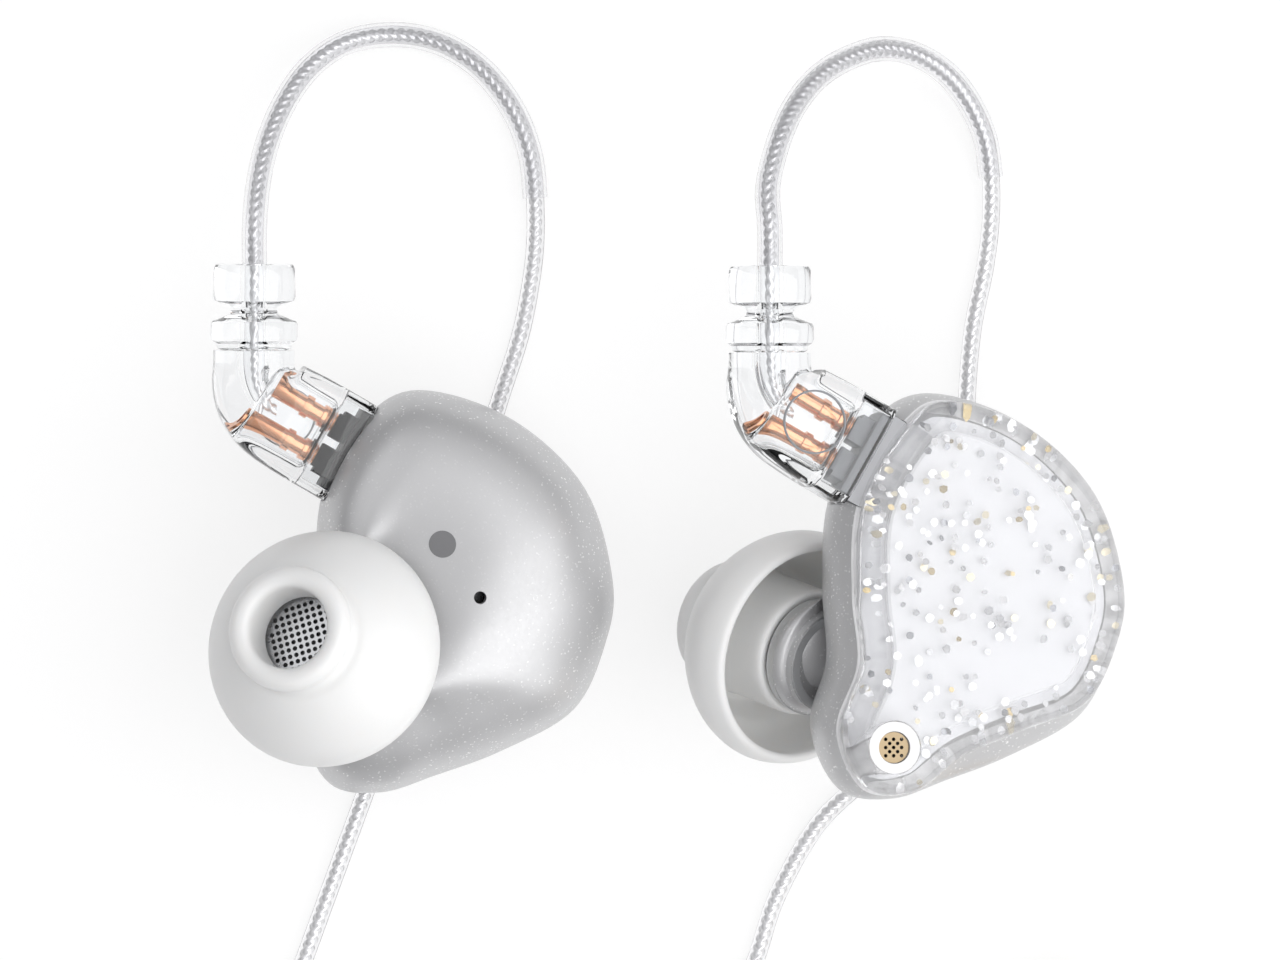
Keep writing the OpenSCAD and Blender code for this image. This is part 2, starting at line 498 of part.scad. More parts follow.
// Coaxial pin: tip rod, ring tube and sleeve, each over the next with an insulator between
module jack_layer(profile) at_jack() translate([0, 0, jack_face]) rotate_extrude() polygon(profile);
module jack_sleeve() color("gold") jack_layer([[1.35, -jack_in], [jack_core_r, -jack_in],
    [jack_core_r, 0], [jr, 0], [jr, sleeve_end], [1.35, sleeve_end]]);
module jack_ring() color("gold") jack_layer([[0.8, -jack_in], [1.1, -jack_in], [1.1, ring_from], [jr, ring_from],
    [jr, ring_end], [0.8, ring_end]]);
module jack_tip() color("gold") jack_layer([[0, -jack_in], [0.5, -jack_in], [0.5, tip_from], [jr, tip_from],
    [jr, jack_l - 2.6], [jr - 0.35, jack_l - 2.0], [jr - 0.05, jack_l - 1.5], [0.5, jack_l], [0, jack_l]]);
module jack_insulators() color("black") {
    jack_layer([[0.5, -jack_in], [0.8, -jack_in], [0.8, ring_end], [jr, ring_end], [jr, tip_from], [0.5, tip_from]]);
    jack_layer([[1.1, -jack_in], [1.35, -jack_in], [1.35, sleeve_end], [jr, sleeve_end], [jr, ring_from], [1.1, ring_from]]);
}

for (side = SIDES) {
    right = side == "right";
    place(side) shell();
    place(side) faceplate();
    place(side) inlay();
    place(side) vent_ring();
    place(side) vent_mesh();
    place(side) nozzle();
    place(side) nozzle_mesh();
    place(side) ear_tip();
    place(side) driver_carrier();
    place(side) driver_basket();
    place(side) driver_yoke();
    place(side) driver_magnet();
    place(side) diaphragm();
    place(side) driver_cover();
    place(side) socket_block();
    place(side) socket_contacts();
    place(side) driver_leads();
    place(side) plug_body();
    place(side) plug_insert();
    place(side) plug_pins();
    place(side) cable_relief();
    color([0.9, 0.92, 0.94, 0.6]) cord(right ? right_hook_route : left_hook_route, sleeve_d);
    color("white") {
        cord(right ? right_cord_route : left_cord_route, side_d);
        cord(right ? right_tail_route : left_tail_route, side_d);
    }
    coil(right ? right_coil_at : left_coil_at, side_coil_r, side_d, side_turns);
}
union() {  // cord_tails
    on_right() cord_tail();
    on_left() cord_tail();
}
chin_slider();
splitter();
color("white") {  // main_cord
    cord(main_entry_route, main_d);
    cord(main_exit_route, main_d);
}
coil(main_coil_at, main_coil_r, main_d, main_turns);  // main_coil
coil_ties();
jack_barrel();
jack_relief();
jack_sleeve();
jack_ring();
jack_tip();
jack_insulators();
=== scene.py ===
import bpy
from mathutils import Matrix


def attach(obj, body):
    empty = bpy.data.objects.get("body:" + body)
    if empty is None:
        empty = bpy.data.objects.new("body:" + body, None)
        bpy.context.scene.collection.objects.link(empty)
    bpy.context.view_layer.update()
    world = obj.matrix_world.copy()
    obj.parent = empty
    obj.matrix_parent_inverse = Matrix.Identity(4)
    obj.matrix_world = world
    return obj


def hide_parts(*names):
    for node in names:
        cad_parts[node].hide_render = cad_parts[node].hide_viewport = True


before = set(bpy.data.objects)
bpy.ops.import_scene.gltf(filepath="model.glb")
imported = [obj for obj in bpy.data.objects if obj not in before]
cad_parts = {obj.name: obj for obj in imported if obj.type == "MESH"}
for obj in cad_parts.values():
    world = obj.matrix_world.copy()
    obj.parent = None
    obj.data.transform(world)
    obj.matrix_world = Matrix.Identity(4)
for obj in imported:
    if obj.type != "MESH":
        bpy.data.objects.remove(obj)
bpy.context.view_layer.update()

import math
import random

import bmesh
import bpy
from bpy.props import FloatProperty, IntProperty, PointerProperty, StringProperty
from mathutils import Matrix, Vector

bl_info = {
    "name": "In-ear monitor builder",
    "version": (1, 0, 0),
    "blender": (4, 5, 0),
    "location": "3D View > Sidebar > Monitors",
    "description": "Builds the finished pieces of a pair of in-ear monitors round their frame",
    "category": "Add Mesh",
}

# All lengths below are millimetres; a finished mesh is scaled to metres.
MM = 0.001
SIDES = ("right", "left")

# ---------------- shape of one monitor
RIGHT_AT, RIGHT_LEAN = Vector((-11.2, 0.15, 0.9)), (2.2, 6.5)
LEFT_AT, LEFT_LEAN = Vector((16.6, -0.2, 14.6)), (0.0, 14.0)
PLATE_T, RIM_W, INLAY_T, LEDGE_T, FIT = 2.0, 1.6, 0.6, 0.45, 0.04
SHELL_WALL = 1.0
PLATE_POINTS = [(7.2, 0.6), (5.7, 5.3), (2.1, 8.8), (-2.3, 10.2), (-4.65, 8.6), (-6.75, 4.7),
                (-7.0, 0.2), (-6.7, -3.4), (-7.85, -6.8), (-6.55, -9.8), (-4.0, -10.0), (-1.5, -8.2),
                (1.7, -6.85), (5.1, -5.5), (6.75, -2.6)]
BELLY_POINTS = [(7.65, 0.6), (6.15, 5.5), (2.3, 9.1), (-2.5, 10.6), (-5.4, 9.1), (-7.6, 5.2),
                (-7.9, 0.4), (-7.7, -3.4), (-8.6, -6.8), (-7.2, -9.9), (-4.5, -10.4), (-1.6, -9.5),
                (1.9, -8.2), (5.6, -6.1), (7.25, -2.7)]
OUTLINE_HUB = Vector((-1, -1))
NECK_AT = Vector((-7.2, -3.1, 8.6))
NECK_DIR = Vector((-0.42, 0.24, 0.875)).normalized()
NECK_R, STEM_R = 3.1, 2.64
NECK_TILT = math.acos(NECK_DIR.z)
NECK_HEADING = math.atan2(NECK_DIR.y, NECK_DIR.x)
# Body sections: centre x, y, z, share of the outline, of the belly, of the neck circle,
# turn towards the nozzle and slope of the wall
SECTIONS = [(0, 0, 2.0, 1, 0.1, 0, 0, 0), (0, 0, 3.0, 1, 0.8, 0, 0, 0), (0, 0, 4.2, 1, 1, 0, 0, 8),
            (-0.05, 0, 5.4, 0.975, 1, 0, 0, 22), (-0.2, -0.1, 6.6, 0.915, 1, 0, 0.02, 38),
            (-0.5, -0.2, 7.6, 0.82, 1, 0.03, 0.06, 52), (-1.1, -0.4, 8.35, 0.70, 1, 0.12, 0.16, 64),
            (-2.2, -0.9, 8.75, 0.60, 1, 0.3, 0.34, 66), (-3.7, -1.6, 8.75, 0.52, 1, 0.55, 0.6, 52),
            (-5.2, -2.3, 8.4, 0.46, 1, 0.8, 0.85, 30), (-6.3, -2.75, 8.1, 0.42, 1, 0.96, 0.97, 10),
            (-6.9, -3.0, 8.2, 0.42, 1, 1, 1, 0), (-7.2, -3.1, 8.6, 0.42, 1, 1, 1, 0)]
SEAT = Vector((-6.1, 7.27, 3.3))
PLUG_TURN = math.radians(-30)
PLUG_W, PLUG_T, PLUG_REACH, RELIEF_RISE, PIN_PITCH = 5.7, 4.0, 5.8, 7.0, 2.0
PLUG_BEND = SEAT - PLUG_REACH * Vector((math.cos(PLUG_TURN), math.sin(PLUG_TURN), 0))
# Half width, half thickness and roundness of the plug's front and of its cable branch
PLUG_SECTION, BRANCH_SECTION = (PLUG_W / 2, PLUG_T / 2, 5.5), (2.12, 2.1, 2.2)
PLUG_ROOM, PLUG_EDGE = 0.3, 0.13
SOCKET_ROOM = (8, 5.08, 2.68)
PIN_CHAMBER, PIN_CHAMBER_X, CHANNEL_R = (3.9, 3.9, 1.8), -3.75, 0.64
GRIP_RING_X, GRIP_RING_R, GRIP_RING_W = -3.65, 1.66, 0.1
NOZZLE_R, NOZZLE_L, COLLAR_T = 2.6, 5.0, 0.5
TIP_R, TIP_L, TIP_BORE_R = 6.2, 7.3, 2.1
VENT_AT, VENT_SEAT_R = (-5.3, -7.7), 1.39
EAR_VENT_AT, EAR_VENT_R = (0.15, 0.0), 0.33
MARK_AT, MARK_T = (-1.75, 2.75, 14), 0.02
FLAKE_SIZE, FLAKE_T, FLAKE_TILT, FLAKE_SEED = (0.15, 0.27), 0.024, 0.3, 11

# ---------------- cable
SIDE_R, SLEEVE_R, MAIN_R = 0.47, 0.65, 0.85
MAIN_CORE_R, MAIN_LAY, TAIL_R, TAIL_END_R = 0.62, 4.5, 0.27, 0.17
HOOK_ROUTE = {
    "right": [(-21.6, 21.5, 5.5), (-21.1, 23.7, 4.5), (-20.2, 25.8, 3.4), (-19.0, 27.5, 2.3),
              (-17.4, 28.7, 1.4), (-15.6, 29.2, 0.85), (-13.7, 29.2, 0.65), (-11.9, 28.7, 0.65),
              (-10.3, 27.7, 0.65), (-9.0, 26.3, 0.65), (-8.0, 24.6, 0.65), (-7.4, 22.7, 0.65),
              (-7.2, 20.7, 0.65)],
    "left": [(4.9, 21.0, 13.6), (5.4, 23.2, 12.6), (6.2, 25.1, 11.1), (7.4, 26.7, 9.4),
             (9.0, 27.8, 7.6), (10.9, 28.4, 5.8), (12.8, 28.1, 4.1), (14.4, 27.1, 2.7),
             (15.6, 25.6, 1.6), (16.4, 23.8, 0.95), (16.7, 21.8, 0.65)]}
CORD_ROUTE = {
    "right": [(-7.2, 18.2, 0.5)] + [(x, y, SIDE_R) for x, y in (
        (-7.5, 15.8), (-8.0, 13.4), (-8.9, 10.6), (-9.8, 7.8), (-10.8, 4.8), (-11.8, 1.8), (-12.8, -1.2),
        (-13.9, -4.2), (-14.9, -7.2), (-16.0, -10.2), (-17.1, -13.2), (-18.2, -16.2))]
    + [(-19.3, -19.2, 0.5), (-20.4, -22.1, 0.6), (-21.05, -24.3, 0.7), (-21.2, -25.8, 0.72)],
    "left": [(16.7, 19.5, 0.5)] + [(x, y, SIDE_R) for x, y in (
        (16.4, 17.0), (15.8, 14.1), (15.5, 11.1), (15.4, 8.1), (15.4, 5.1), (15.4, 2.1), (15.2, -0.9),
        (14.6, -3.9), (13.1, -6.9), (10.3, -9.6), (7.6, -12.2), (5.5, -15.9))]
    + [(4.5, -18.9, 0.5), (3.4, -21.9, 0.6), (2.85, -24.2, 0.7), (2.73, -25.8, 0.72)]}
TAIL_ROUTE = {
    "right": [(-12.0, -34.97, 3.54), (-9.0, -35.0, 2.9), (-6.4, -35.6, 2.1), (-4.3, -37.0, 1.7),
              (-3.0, -39.2, 1.6), (-2.65, -41.5, 1.6), (-2.65, -48, 1.6), (-2.65, -55, 1.6)],
    "left": [(2.73, -32.2, 3.54), (2.4, -34.6, 2.8), (1.3, -36.8, 2.0), (0.0, -38.6, 1.65),
             (-1.0, -40.2, 1.6), (-1.35, -42.0, 1.6), (-1.35, -48, 1.6), (-1.35, -55, 1.6)]}
MAIN_ENTRY = [(-2, -64, 1.6), (-2, -65.2, 1.6), (-2, -67, 1.35), (-2, -68.8, 1.15), (-1.97, -71, 1.1)]
MAIN_EXIT = [(18.4, -72.3, 6.2), (20.3, -70.3, 6.2), (21.15, -68.2, 6.1), (21.2, -66.0, 5.8),
             (21.3, -64.0, 5.0), (21.4, -61.8, 4.1), (21.4, -60, 3.4), (21.4, -58.3, 3.2), (21.4, -57, 3.2)]
TIE_T, LANE_CHANGE = 0.25, 0.2
SIDE_COIL_R, MAIN_COIL_R = 5.5, 9.0
SIDE_COLUMNS, MAIN_COLUMNS = 2, 4
COIL_LAYERS = 4
COIL_AT = {"right": (-15.2, -29.0), "left": (8.7, -29.0), "main": (9.6, -75.0)}
COIL_TURNS = {"right": 7.25, "left": 8.0, "main": 13.5}

# ---------------- stage, in metres
SENSOR_MM = 36
VIEW_CENTRE, FOCUS_HEIGHT = (-1.7 * MM, 5.9 * MM), 7 * MM
FLOOR_SIZE, FLOOR_GLOW_SHARE, FLOOR_GLOW = 3, 0.72, 1.08
# Name, place, size and power of each lamp
LAMPS = (("key", (0.42, -0.14, 0.45), 0.9, 4.5), ("fill", (-0.4, 0.35, 0.55), 0.5, 0.5))
# Height as a share of straight up, and the sky's brightness there
SKY = ((0.1, (0.04, 0.04, 0.042, 1)), (0.75, (0.56, 0.56, 0.57, 1)), (0.35, (0.34, 0.34, 0.35, 1)))

# ---------------- small helpers


def smooth_ring(points, steps):
    """Closed Catmull-Rom curve through a ring of points."""
    n, ring = len(points), []
    for i in range(n):
        p = [Vector(points[(i + k - 1) % n]) for k in range(4)]
        ring += [spline(p, s / steps) for s in range(steps)]
    return ring


def spline(p, t):
    """Point at t of a Catmull-Rom curve between the middle two of four points."""
    return 0.5 * ((2 * p[1]) + (p[2] - p[0]) * t + (2 * p[0] - 5 * p[1] + 4 * p[2] - p[3]) * t * t
                  + (3 * p[1] - p[0] - 3 * p[2] + p[3]) * t * t * t)


def smooth_line(points, steps):
    """Open Catmull-Rom curve through a row of points of any dimension."""
    p = [Vector(q) for q in points]
    p = [2 * p[0] - p[1]] + p + [2 * p[-1] - p[-2]]
    line = []
    for i in range(1, len(p) - 2):
        line += [spline(p[i - 1:i + 3], s / steps) for s in range(steps)]
    return line + [p[-2]]


def inset(ring, d):
    """An anticlockwise ring moved inwards, point for point."""
    n, moved = len(ring), []
    for i, p in enumerate(ring):
        t = (ring[(i + 1) % n] - ring[i - 1]).normalized()
        moved.append(p + d * Vector((-t.y, t.x)))
    return moved


def trimmed(ring, d):
    """The ring moved inwards, without the points that crowd or cross over at tight corners."""
    kept = []
    for p in inset(ring, d):
        clear = min((p - q).length for q in ring) > 0.996 * d
        if clear and (not kept or min((p - kept[-1]).length, (p - kept[0]).length) > 0.16):
            kept.append(p)
    return kept


def placement(side):
    """Matrix from a monitor's own frame, in millimetres, to the layout, in metres."""
    at, lean = (RIGHT_AT, RIGHT_LEAN) if side == "right" else (LEFT_AT, LEFT_LEAN)
    turn = Matrix.Rotation(math.radians(lean[1]), 4, "Y") @ Matrix.Rotation(math.radians(lean[0]), 4, "X")
    flip = Matrix.Identity(4) if side == "right" else Matrix.Scale(-1, 4, (0, 0, 1))
    return Matrix.Scale(MM, 4) @ Matrix.Translation(at) @ turn @ flip


def neck_frame():
    return (Matrix.Translation(NECK_AT) @ Matrix.Rotation(NECK_HEADING, 4, "Z")
            @ Matrix.Rotation(NECK_TILT, 4, "Y"))


def seat_frame():
    return Matrix.Translation(SEAT) @ Matrix.Rotation(PLUG_TURN, 4, "Z")


def branch_frame():
    """Frame with z up the plug's cable branch, from the middle of its bend."""
    return Matrix.Translation(PLUG_BEND) @ Matrix.Rotation(math.radians(-90), 4, "X")


def level(ring, z):
    """A flat ring lifted to a height."""
    return [(p.x, p.y, z) for p in ring]


def clear_selection():
    if bpy.context.object and bpy.context.object.mode != "OBJECT":
        bpy.ops.object.mode_set(mode="OBJECT")
    bpy.ops.object.select_all(action="DESELECT")


def select_only(*pieces):
    """Selects these pieces, with the first one active."""
    clear_selection()
    for piece in pieces:
        piece.select_set(True)
    bpy.context.view_layer.objects.active = pieces[0]


def joined(pieces):
    select_only(*pieces)
    bpy.ops.object.join()
    return pieces[0]


def new_piece(name, points, faces=(), edges=()):
    mesh = bpy.data.meshes.new(name)
    mesh.from_pydata([tuple(p) for p in points], list(edges), list(faces))
    piece = bpy.data.objects.new(name, mesh)
    bpy.context.collection.objects.link(piece)
    select_only(piece)
    return piece


def set_down(piece, matrix):
    """Puts a finished mesh in its place, with its faces outwards and its object at the origin."""
    piece.data.transform(matrix)
    if matrix.to_3x3().determinant() < 0:
        piece.data.flip_normals()
    piece.matrix_world = Matrix.Identity(4)
    return piece


def shade(piece, degrees=32):
    select_only(piece)
    bpy.ops.object.shade_smooth_by_angle(angle=math.radians(degrees))
    return piece


def tidy_normals(piece, merge=1e-4):
    select_only(piece)
    bpy.ops.object.mode_set(mode="EDIT")
    bpy.ops.mesh.select_all(action="SELECT")
    bpy.ops.mesh.remove_doubles(threshold=merge)
    bpy.ops.mesh.normals_make_consistent(inside=False)
    bpy.ops.object.mode_set(mode="OBJECT")
    return piece


def turned_piece(name, profile, steps=64):
    """Spins an open or closed profile of (radius, height) round z into a closed solid."""
    edges = [(i, i + 1) for i in range(len(profile) - 1)]
    piece = new_piece(name, [(r, 0, z) for r, z in profile], edges=edges)
    bpy.ops.object.mode_set(mode="EDIT")
    bpy.ops.mesh.select_all(action="SELECT")
    bpy.ops.mesh.spin(steps=steps, angle=2 * math.pi, center=(0, 0, 0), axis=(0, 0, 1))
    bpy.ops.object.mode_set(mode="OBJECT")
    return tidy_normals(piece)


def lofted_piece(name, rings, closed=False):
    """Skins a stack of rings; a closed stack joins its last ring to its first."""
    n, m = len(rings[0]), len(rings)
    faces = [(i * n + j, i * n + (j + 1) % n, (i + 1) % m * n + (j + 1) % n, (i + 1) % m * n + j)
             for i in range(m if closed else m - 1) for j in range(n)]
    if not closed:
        faces += [tuple(reversed(range(n))), tuple(range((m - 1) * n, m * n))]
    return tidy_normals(new_piece(name, [p for ring in rings for p in ring], faces), 1e-6)


def change(piece, kind, **settings):
    """Adds a modifier, sets it and applies it."""
    modifier = piece.modifiers.new(kind, kind)
    for key, value in settings.items():
        setattr(modifier, key, value)
    select_only(piece)
    bpy.ops.object.modifier_apply(modifier=modifier.name)
    return piece


def cut(piece, tool, kind="DIFFERENCE"):
    """Cuts the tool out of a piece, or joins it on, and removes the tool."""
    change(piece, "BOOLEAN", operation=kind, object=tool, solver="EXACT")
    bpy.data.objects.remove(tool, do_unlink=True)
    return piece


def box_tool(size, matrix, round_by=0.0):
    clear_selection()
    bpy.ops.mesh.primitive_cube_add(size=1)
    tool = bpy.context.object
    tool.data.transform(matrix @ Matrix.Diagonal((*size, 1)))
    if round_by:
        change(tool, "BEVEL", width=round_by, segments=3, limit_method="ANGLE", angle_limit=math.radians(40))
    return tool


def rod_tool(radius, length, matrix, sides=32):
    clear_selection()
    bpy.ops.mesh.primitive_cylinder_add(vertices=sides, radius=radius, depth=length)
    tool = bpy.context.object
    tool.data.transform(matrix)
    return tool


# ---------------- materials


def tone(colour):
    """sRGB hex to linear RGBA."""
    parts = [int(colour[i:i + 2], 16) / 255 for i in (1, 3, 5)]
    return tuple(c / 12.92 if c <= 0.04045 else ((c + 0.055) / 1.055) ** 2.4 for c in parts) + (1.0,)


def add(tree, kind, settings=None, links=None):
    """Adds a node; settings fill sockets or attributes, links join sockets to outputs."""
    made = tree.nodes.new(kind)
    for key, value in (settings or {}).items():
        if isinstance(key, int) or key in made.inputs:
            made.inputs[key].default_value = value
        else:
            setattr(made, key, value)
    for key, source in (links or {}).items():
        tree.links.new(source, made.inputs[key])
    return made


def surface(name, colour, **shader):
    """New material with one Principled shader; returns the material, its tree and the shader."""
    if name in bpy.data.materials:
        return bpy.data.materials[name], None, None
    made = bpy.data.materials.new(name)
    made.use_nodes = True
    tree = made.node_tree
    bsdf = tree.nodes["Principled BSDF"]
    bsdf.inputs["Base Color"].default_value = tone(colour)
    for key, value in shader.items():
        bsdf.inputs[key.replace("_", " ")].default_value = value
    return made, tree, bsdf


def grain(tree, bsdf, size_mm, depth_mm, kind="ShaderNodeTexNoise"):
    """Fine bump with a pattern of a real size and depth in millimetres."""
    where = add(tree, "ShaderNodeTexCoord")
    pattern = add(tree, kind, {"Scale": 1 / (size_mm * MM)}, {"Vector": where.outputs["Object"]})
    bump = add(tree, "ShaderNodeBump", {"Strength": 1.0, "Distance": depth_mm * MM},
               {"Height": pattern.outputs[0]})
    tree.links.new(bump.outputs["Normal"], bsdf.inputs["Normal"])
    return pattern


def any_ray(tree, *kinds):
    """1 for a ray of one of these kinds, else 0."""
    path = add(tree, "ShaderNodeLightPath")
    found = path.outputs[kinds[0]]
    for kind in kinds[1:]:
        found = add(tree, "ShaderNodeMath", {"operation": "MAXIMUM"}, {0: found, 1: path.outputs[kind]}).outputs[0]
    return found


def mix_in(tree, bsdf, other, share):
    """Replaces a share of the material's surface by another shader."""
    mix = add(tree, "ShaderNodeMixShader", links={0: share, 1: bsdf.outputs[0], 2: other.outputs[0]})
    tree.links.new(mix.outputs[0], tree.nodes["Material Output"].inputs["Surface"])


def rough_spread(tree, bsdf, source, low, high):
    """Varies the roughness between two values with a texture."""
    spread = add(tree, "ShaderNodeMapRange", {"To Min": low, "To Max": high}, {"Value": source})
    tree.links.new(spread.outputs["Result"], bsdf.inputs["Roughness"])


def pearl_resin():
    # Polished pearl-loaded resin: soft silver-white body, a broad sheen, and painted glints of its fine glitter:
    # pale specks in the base colour, strongest on its slopes
    made, tree, bsdf = surface("pearl_resin_polished", "#CACACB", Roughness=0.42, Metallic=0.55,
                               Coat_Weight=0.5, Coat_Roughness=0.36)
    if not tree:
        return made
    where = add(tree, "ShaderNodeTexCoord")
    # Painted glints: a few Voronoi cells turn pale in the base colour, fully on slopes and only weakly on faces
    # that look straight up
    speck = add(tree, "ShaderNodeTexVoronoi", {"Scale": 1 / (0.08 * MM)}, {"Vector": where.outputs["Object"]})
    pick = add(tree, "ShaderNodeSeparateColor", links={"Color": speck.outputs["Color"]})
    glint_specks = add(tree, "ShaderNodeMapRange", {"From Min": 0.955, "From Max": 0.985}, {"Value": pick.outputs[0]})
    facing = add(tree, "ShaderNodeSeparateXYZ", links={0: add(tree, "ShaderNodeNewGeometry").outputs["Normal"]})
    flat = add(tree, "ShaderNodeMapRange", {"From Min": 0.98, "From Max": 0.6, "To Min": 0.15},
               {"Value": facing.outputs["Z"]})
    glint_specks = add(tree, "ShaderNodeMath", {"operation": "MULTIPLY"},
                 {0: glint_specks.outputs["Result"], 1: flat.outputs["Result"]})
    glint_paint_mix = add(tree, "ShaderNodeMix", {"data_type": "RGBA", 6: tone("#CACACB"), 7: tone("#F6F6F6")},
                    {0: glint_specks.outputs[0]})
    tree.links.new(glint_paint_mix.outputs[2], bsdf.inputs["Base Color"])
    rough_spread(tree, bsdf, pick.outputs[1], 0.38, 0.5)
    return made


def clear(name, colour, tint, grain_size, depth, **shader):
    """Glassy material that lets lamps and bounced light straight through, so that what it covers is lit."""
    made, tree, bsdf = surface(name, colour, **shader)
    if tree:
        grain(tree, bsdf, grain_size, depth)
        mix_in(tree, bsdf, add(tree, "ShaderNodeBsdfTransparent", {"Color": tone(tint)}),
               any_ray(tree, "Is Shadow Ray", "Is Diffuse Ray"))
    return made


def cast_resin():
    # Clear resin cast over the faceplate and polished: glassy, with a faint cool tint
    return clear("cast_resin_clear", "#F7F7F8", "#FAFAFA", 2.5, 0.004,
                 Roughness=0.02, IOR=1.5, Transmission_Weight=0.8)


def clear_moulding():
    # Injection-moulded polycarbonate: water-clear with slight flow marks
    return clear("polycarbonate_moulded_clear", "#FBFCFD", "#FAFAFA", 1.6, 0.006,
                 Roughness=0.015, IOR=1.5, Transmission_Weight=1.0)


def clear_sleeve():
    # Extruded clear PVC: slightly milky jacket and hook sleeve
    return clear("pvc_extruded_clear", "#F8F8F9", "#F6F6F6", 0.8, 0.004,
                 Roughness=0.08, IOR=1.42, Transmission_Weight=1.0)


def fill_ramp(ramp, stops):
    """Sets a new colour ramp's two stops and adds the others."""
    for stop, (at, colour) in zip(ramp.color_ramp.elements, stops[:2]):
        stop.position, stop.color = at, colour
    for at, colour in stops[2:]:
        ramp.color_ramp.elements.new(at).color = colour


def foil():
    # Foil flakes stirred into the resin: mirror-like silver with some champagne and dark ones
    made, tree, bsdf = surface("foil_flakes_cut", "#DDDEE2", Roughness=0.25, Metallic=0.75)
    if not tree:
        return made
    geometry = add(tree, "ShaderNodeNewGeometry")
    ramp = add(tree, "ShaderNodeValToRGB", links={"Fac": geometry.outputs["Random Per Island"]})
    ramp.color_ramp.interpolation = "CONSTANT"
    fill_ramp(ramp, [(at, tone(colour)) for at, colour in (
        (0, "#F6F6F7"), (0.42, "#D9DADC"), (0.7, "#E9DFC4"), (0.82, "#A3A5AA"), (0.93, "#CDB98A"))])
    tree.links.new(ramp.outputs["Color"], bsdf.inputs["Base Color"])
    return made


def white_backing():
    # White ABS sheet behind the resin: even and satin
    made, tree, bsdf = surface("abs_sheet_white", "#E3E4E8", Roughness=0.45)
    if tree:
        rough_spread(tree, bsdf, grain(tree, bsdf, 0.4, 0.003).outputs[0], 0.38, 0.52)
    return made


def white_moulding():
    # Gloss white ABS of the vent's ring
    made, tree, bsdf = surface("abs_moulded_white", "#F2F2F2", Roughness=0.22)
    if tree:
        grain(tree, bsdf, 0.3, 0.002)
    return made


def silicone():
    # Moulded silicone rubber: white, a little light gets in, fine matt bloom
    made, tree, bsdf = surface("silicone_moulded_white", "#F3F3F2", Roughness=0.38,
                               Subsurface_Weight=0.35, Subsurface_Scale=0.6 * MM, IOR=1.41)
    if tree:
        bsdf.inputs["Subsurface Radius"].default_value = (1.0, 0.95, 0.9)
        rough_spread(tree, bsdf, grain(tree, bsdf, 0.12, 0.003).outputs[0], 0.3, 0.48)
    return made


def silver_strands():
    # Twisted silver-plated strands: bright metal, dark between the strands
    made, tree, bsdf = surface("silver_strands_twisted", "#ECECED", Roughness=0.35, Metallic=0.6)
    if tree:
        rough_spread(tree, bsdf, grain(tree, bsdf, 0.09, 0.006).outputs[0], 0.22, 0.4)
    return made


def metal(name, colour, roughness):
    # Drawn, turned or plated metal: a fine grain breaks up its reflections
    made, tree, bsdf = surface(name, colour, Roughness=roughness, Metallic=1.0)
    if tree:
        rough_spread(tree, bsdf, grain(tree, bsdf, 0.15, 0.0015).outputs[0], roughness * 0.8, roughness * 1.25)
    return made


def plastic(name, colour, roughness, shine=0.5):
    # Opaque moulded plastic: a satin face with the mould's fine texture
    made, tree, bsdf = surface(name, colour, Roughness=roughness, Specular_IOR_Level=shine)
    if tree:
        rough_spread(tree, bsdf, grain(tree, bsdf, 0.2, 0.004).outputs[0], roughness * 0.85, roughness * 1.15)
    return made


def strap_weave():
    # Woven hook-and-loop strap: fine crossed ribs
    made, tree, bsdf = surface("nylon_strap_woven", "#D8D8D8", Roughness=0.8, Sheen_Weight=0.3)
    if tree:
        grain(tree, bsdf, 0.5, 0.04, "ShaderNodeTexWave").inputs["Distortion"].default_value = 0.6
    return made


def settle(piece, material, body, slot, *nodes):
    """Gives a piece its material, the body it rides on and the CAD nodes it stands for; its slot argument is not
    used.
    """
    piece.data.materials.clear()
    piece.data.materials.append(material)
    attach(piece, body)
    if nodes:
        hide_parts(*nodes)


def dress_node(name, material):
    """Gives a CAD node's own object a material."""
    for slot in bpy.data.objects[name].material_slots:
        slot.material = material


# ---------------- shapes


def turned(p, share):
    """Tips a point from the z axis towards the nozzle by a share of the full tilt."""
    axis = Vector((-math.sin(NECK_HEADING), math.cos(NECK_HEADING), 0))
    return Matrix.Rotation(NECK_TILT * share, 3, axis) @ p


def body_ring(s, wall, plate, belly):
    """One section of the shell, moved inwards by the wall."""
    slope = math.radians(s[7])
    bean = inset([a.lerp(b, s[4]) for a, b in zip(plate, belly)], wall * math.cos(slope))
    ring, radius = [], NECK_R - wall * math.cos(slope)
    for p in bean:
        a = math.atan2(p.y - OUTLINE_HUB.y, p.x - OUTLINE_HUB.x)
        flat = (p * s[3]).lerp(Vector((radius * math.cos(a), radius * math.sin(a))), s[5])
        ring.append(Vector(s[:3]) - Vector((0, 0, wall * math.sin(slope)))
                    + turned(Vector((flat.x, flat.y, 0)), s[6]))
    return ring


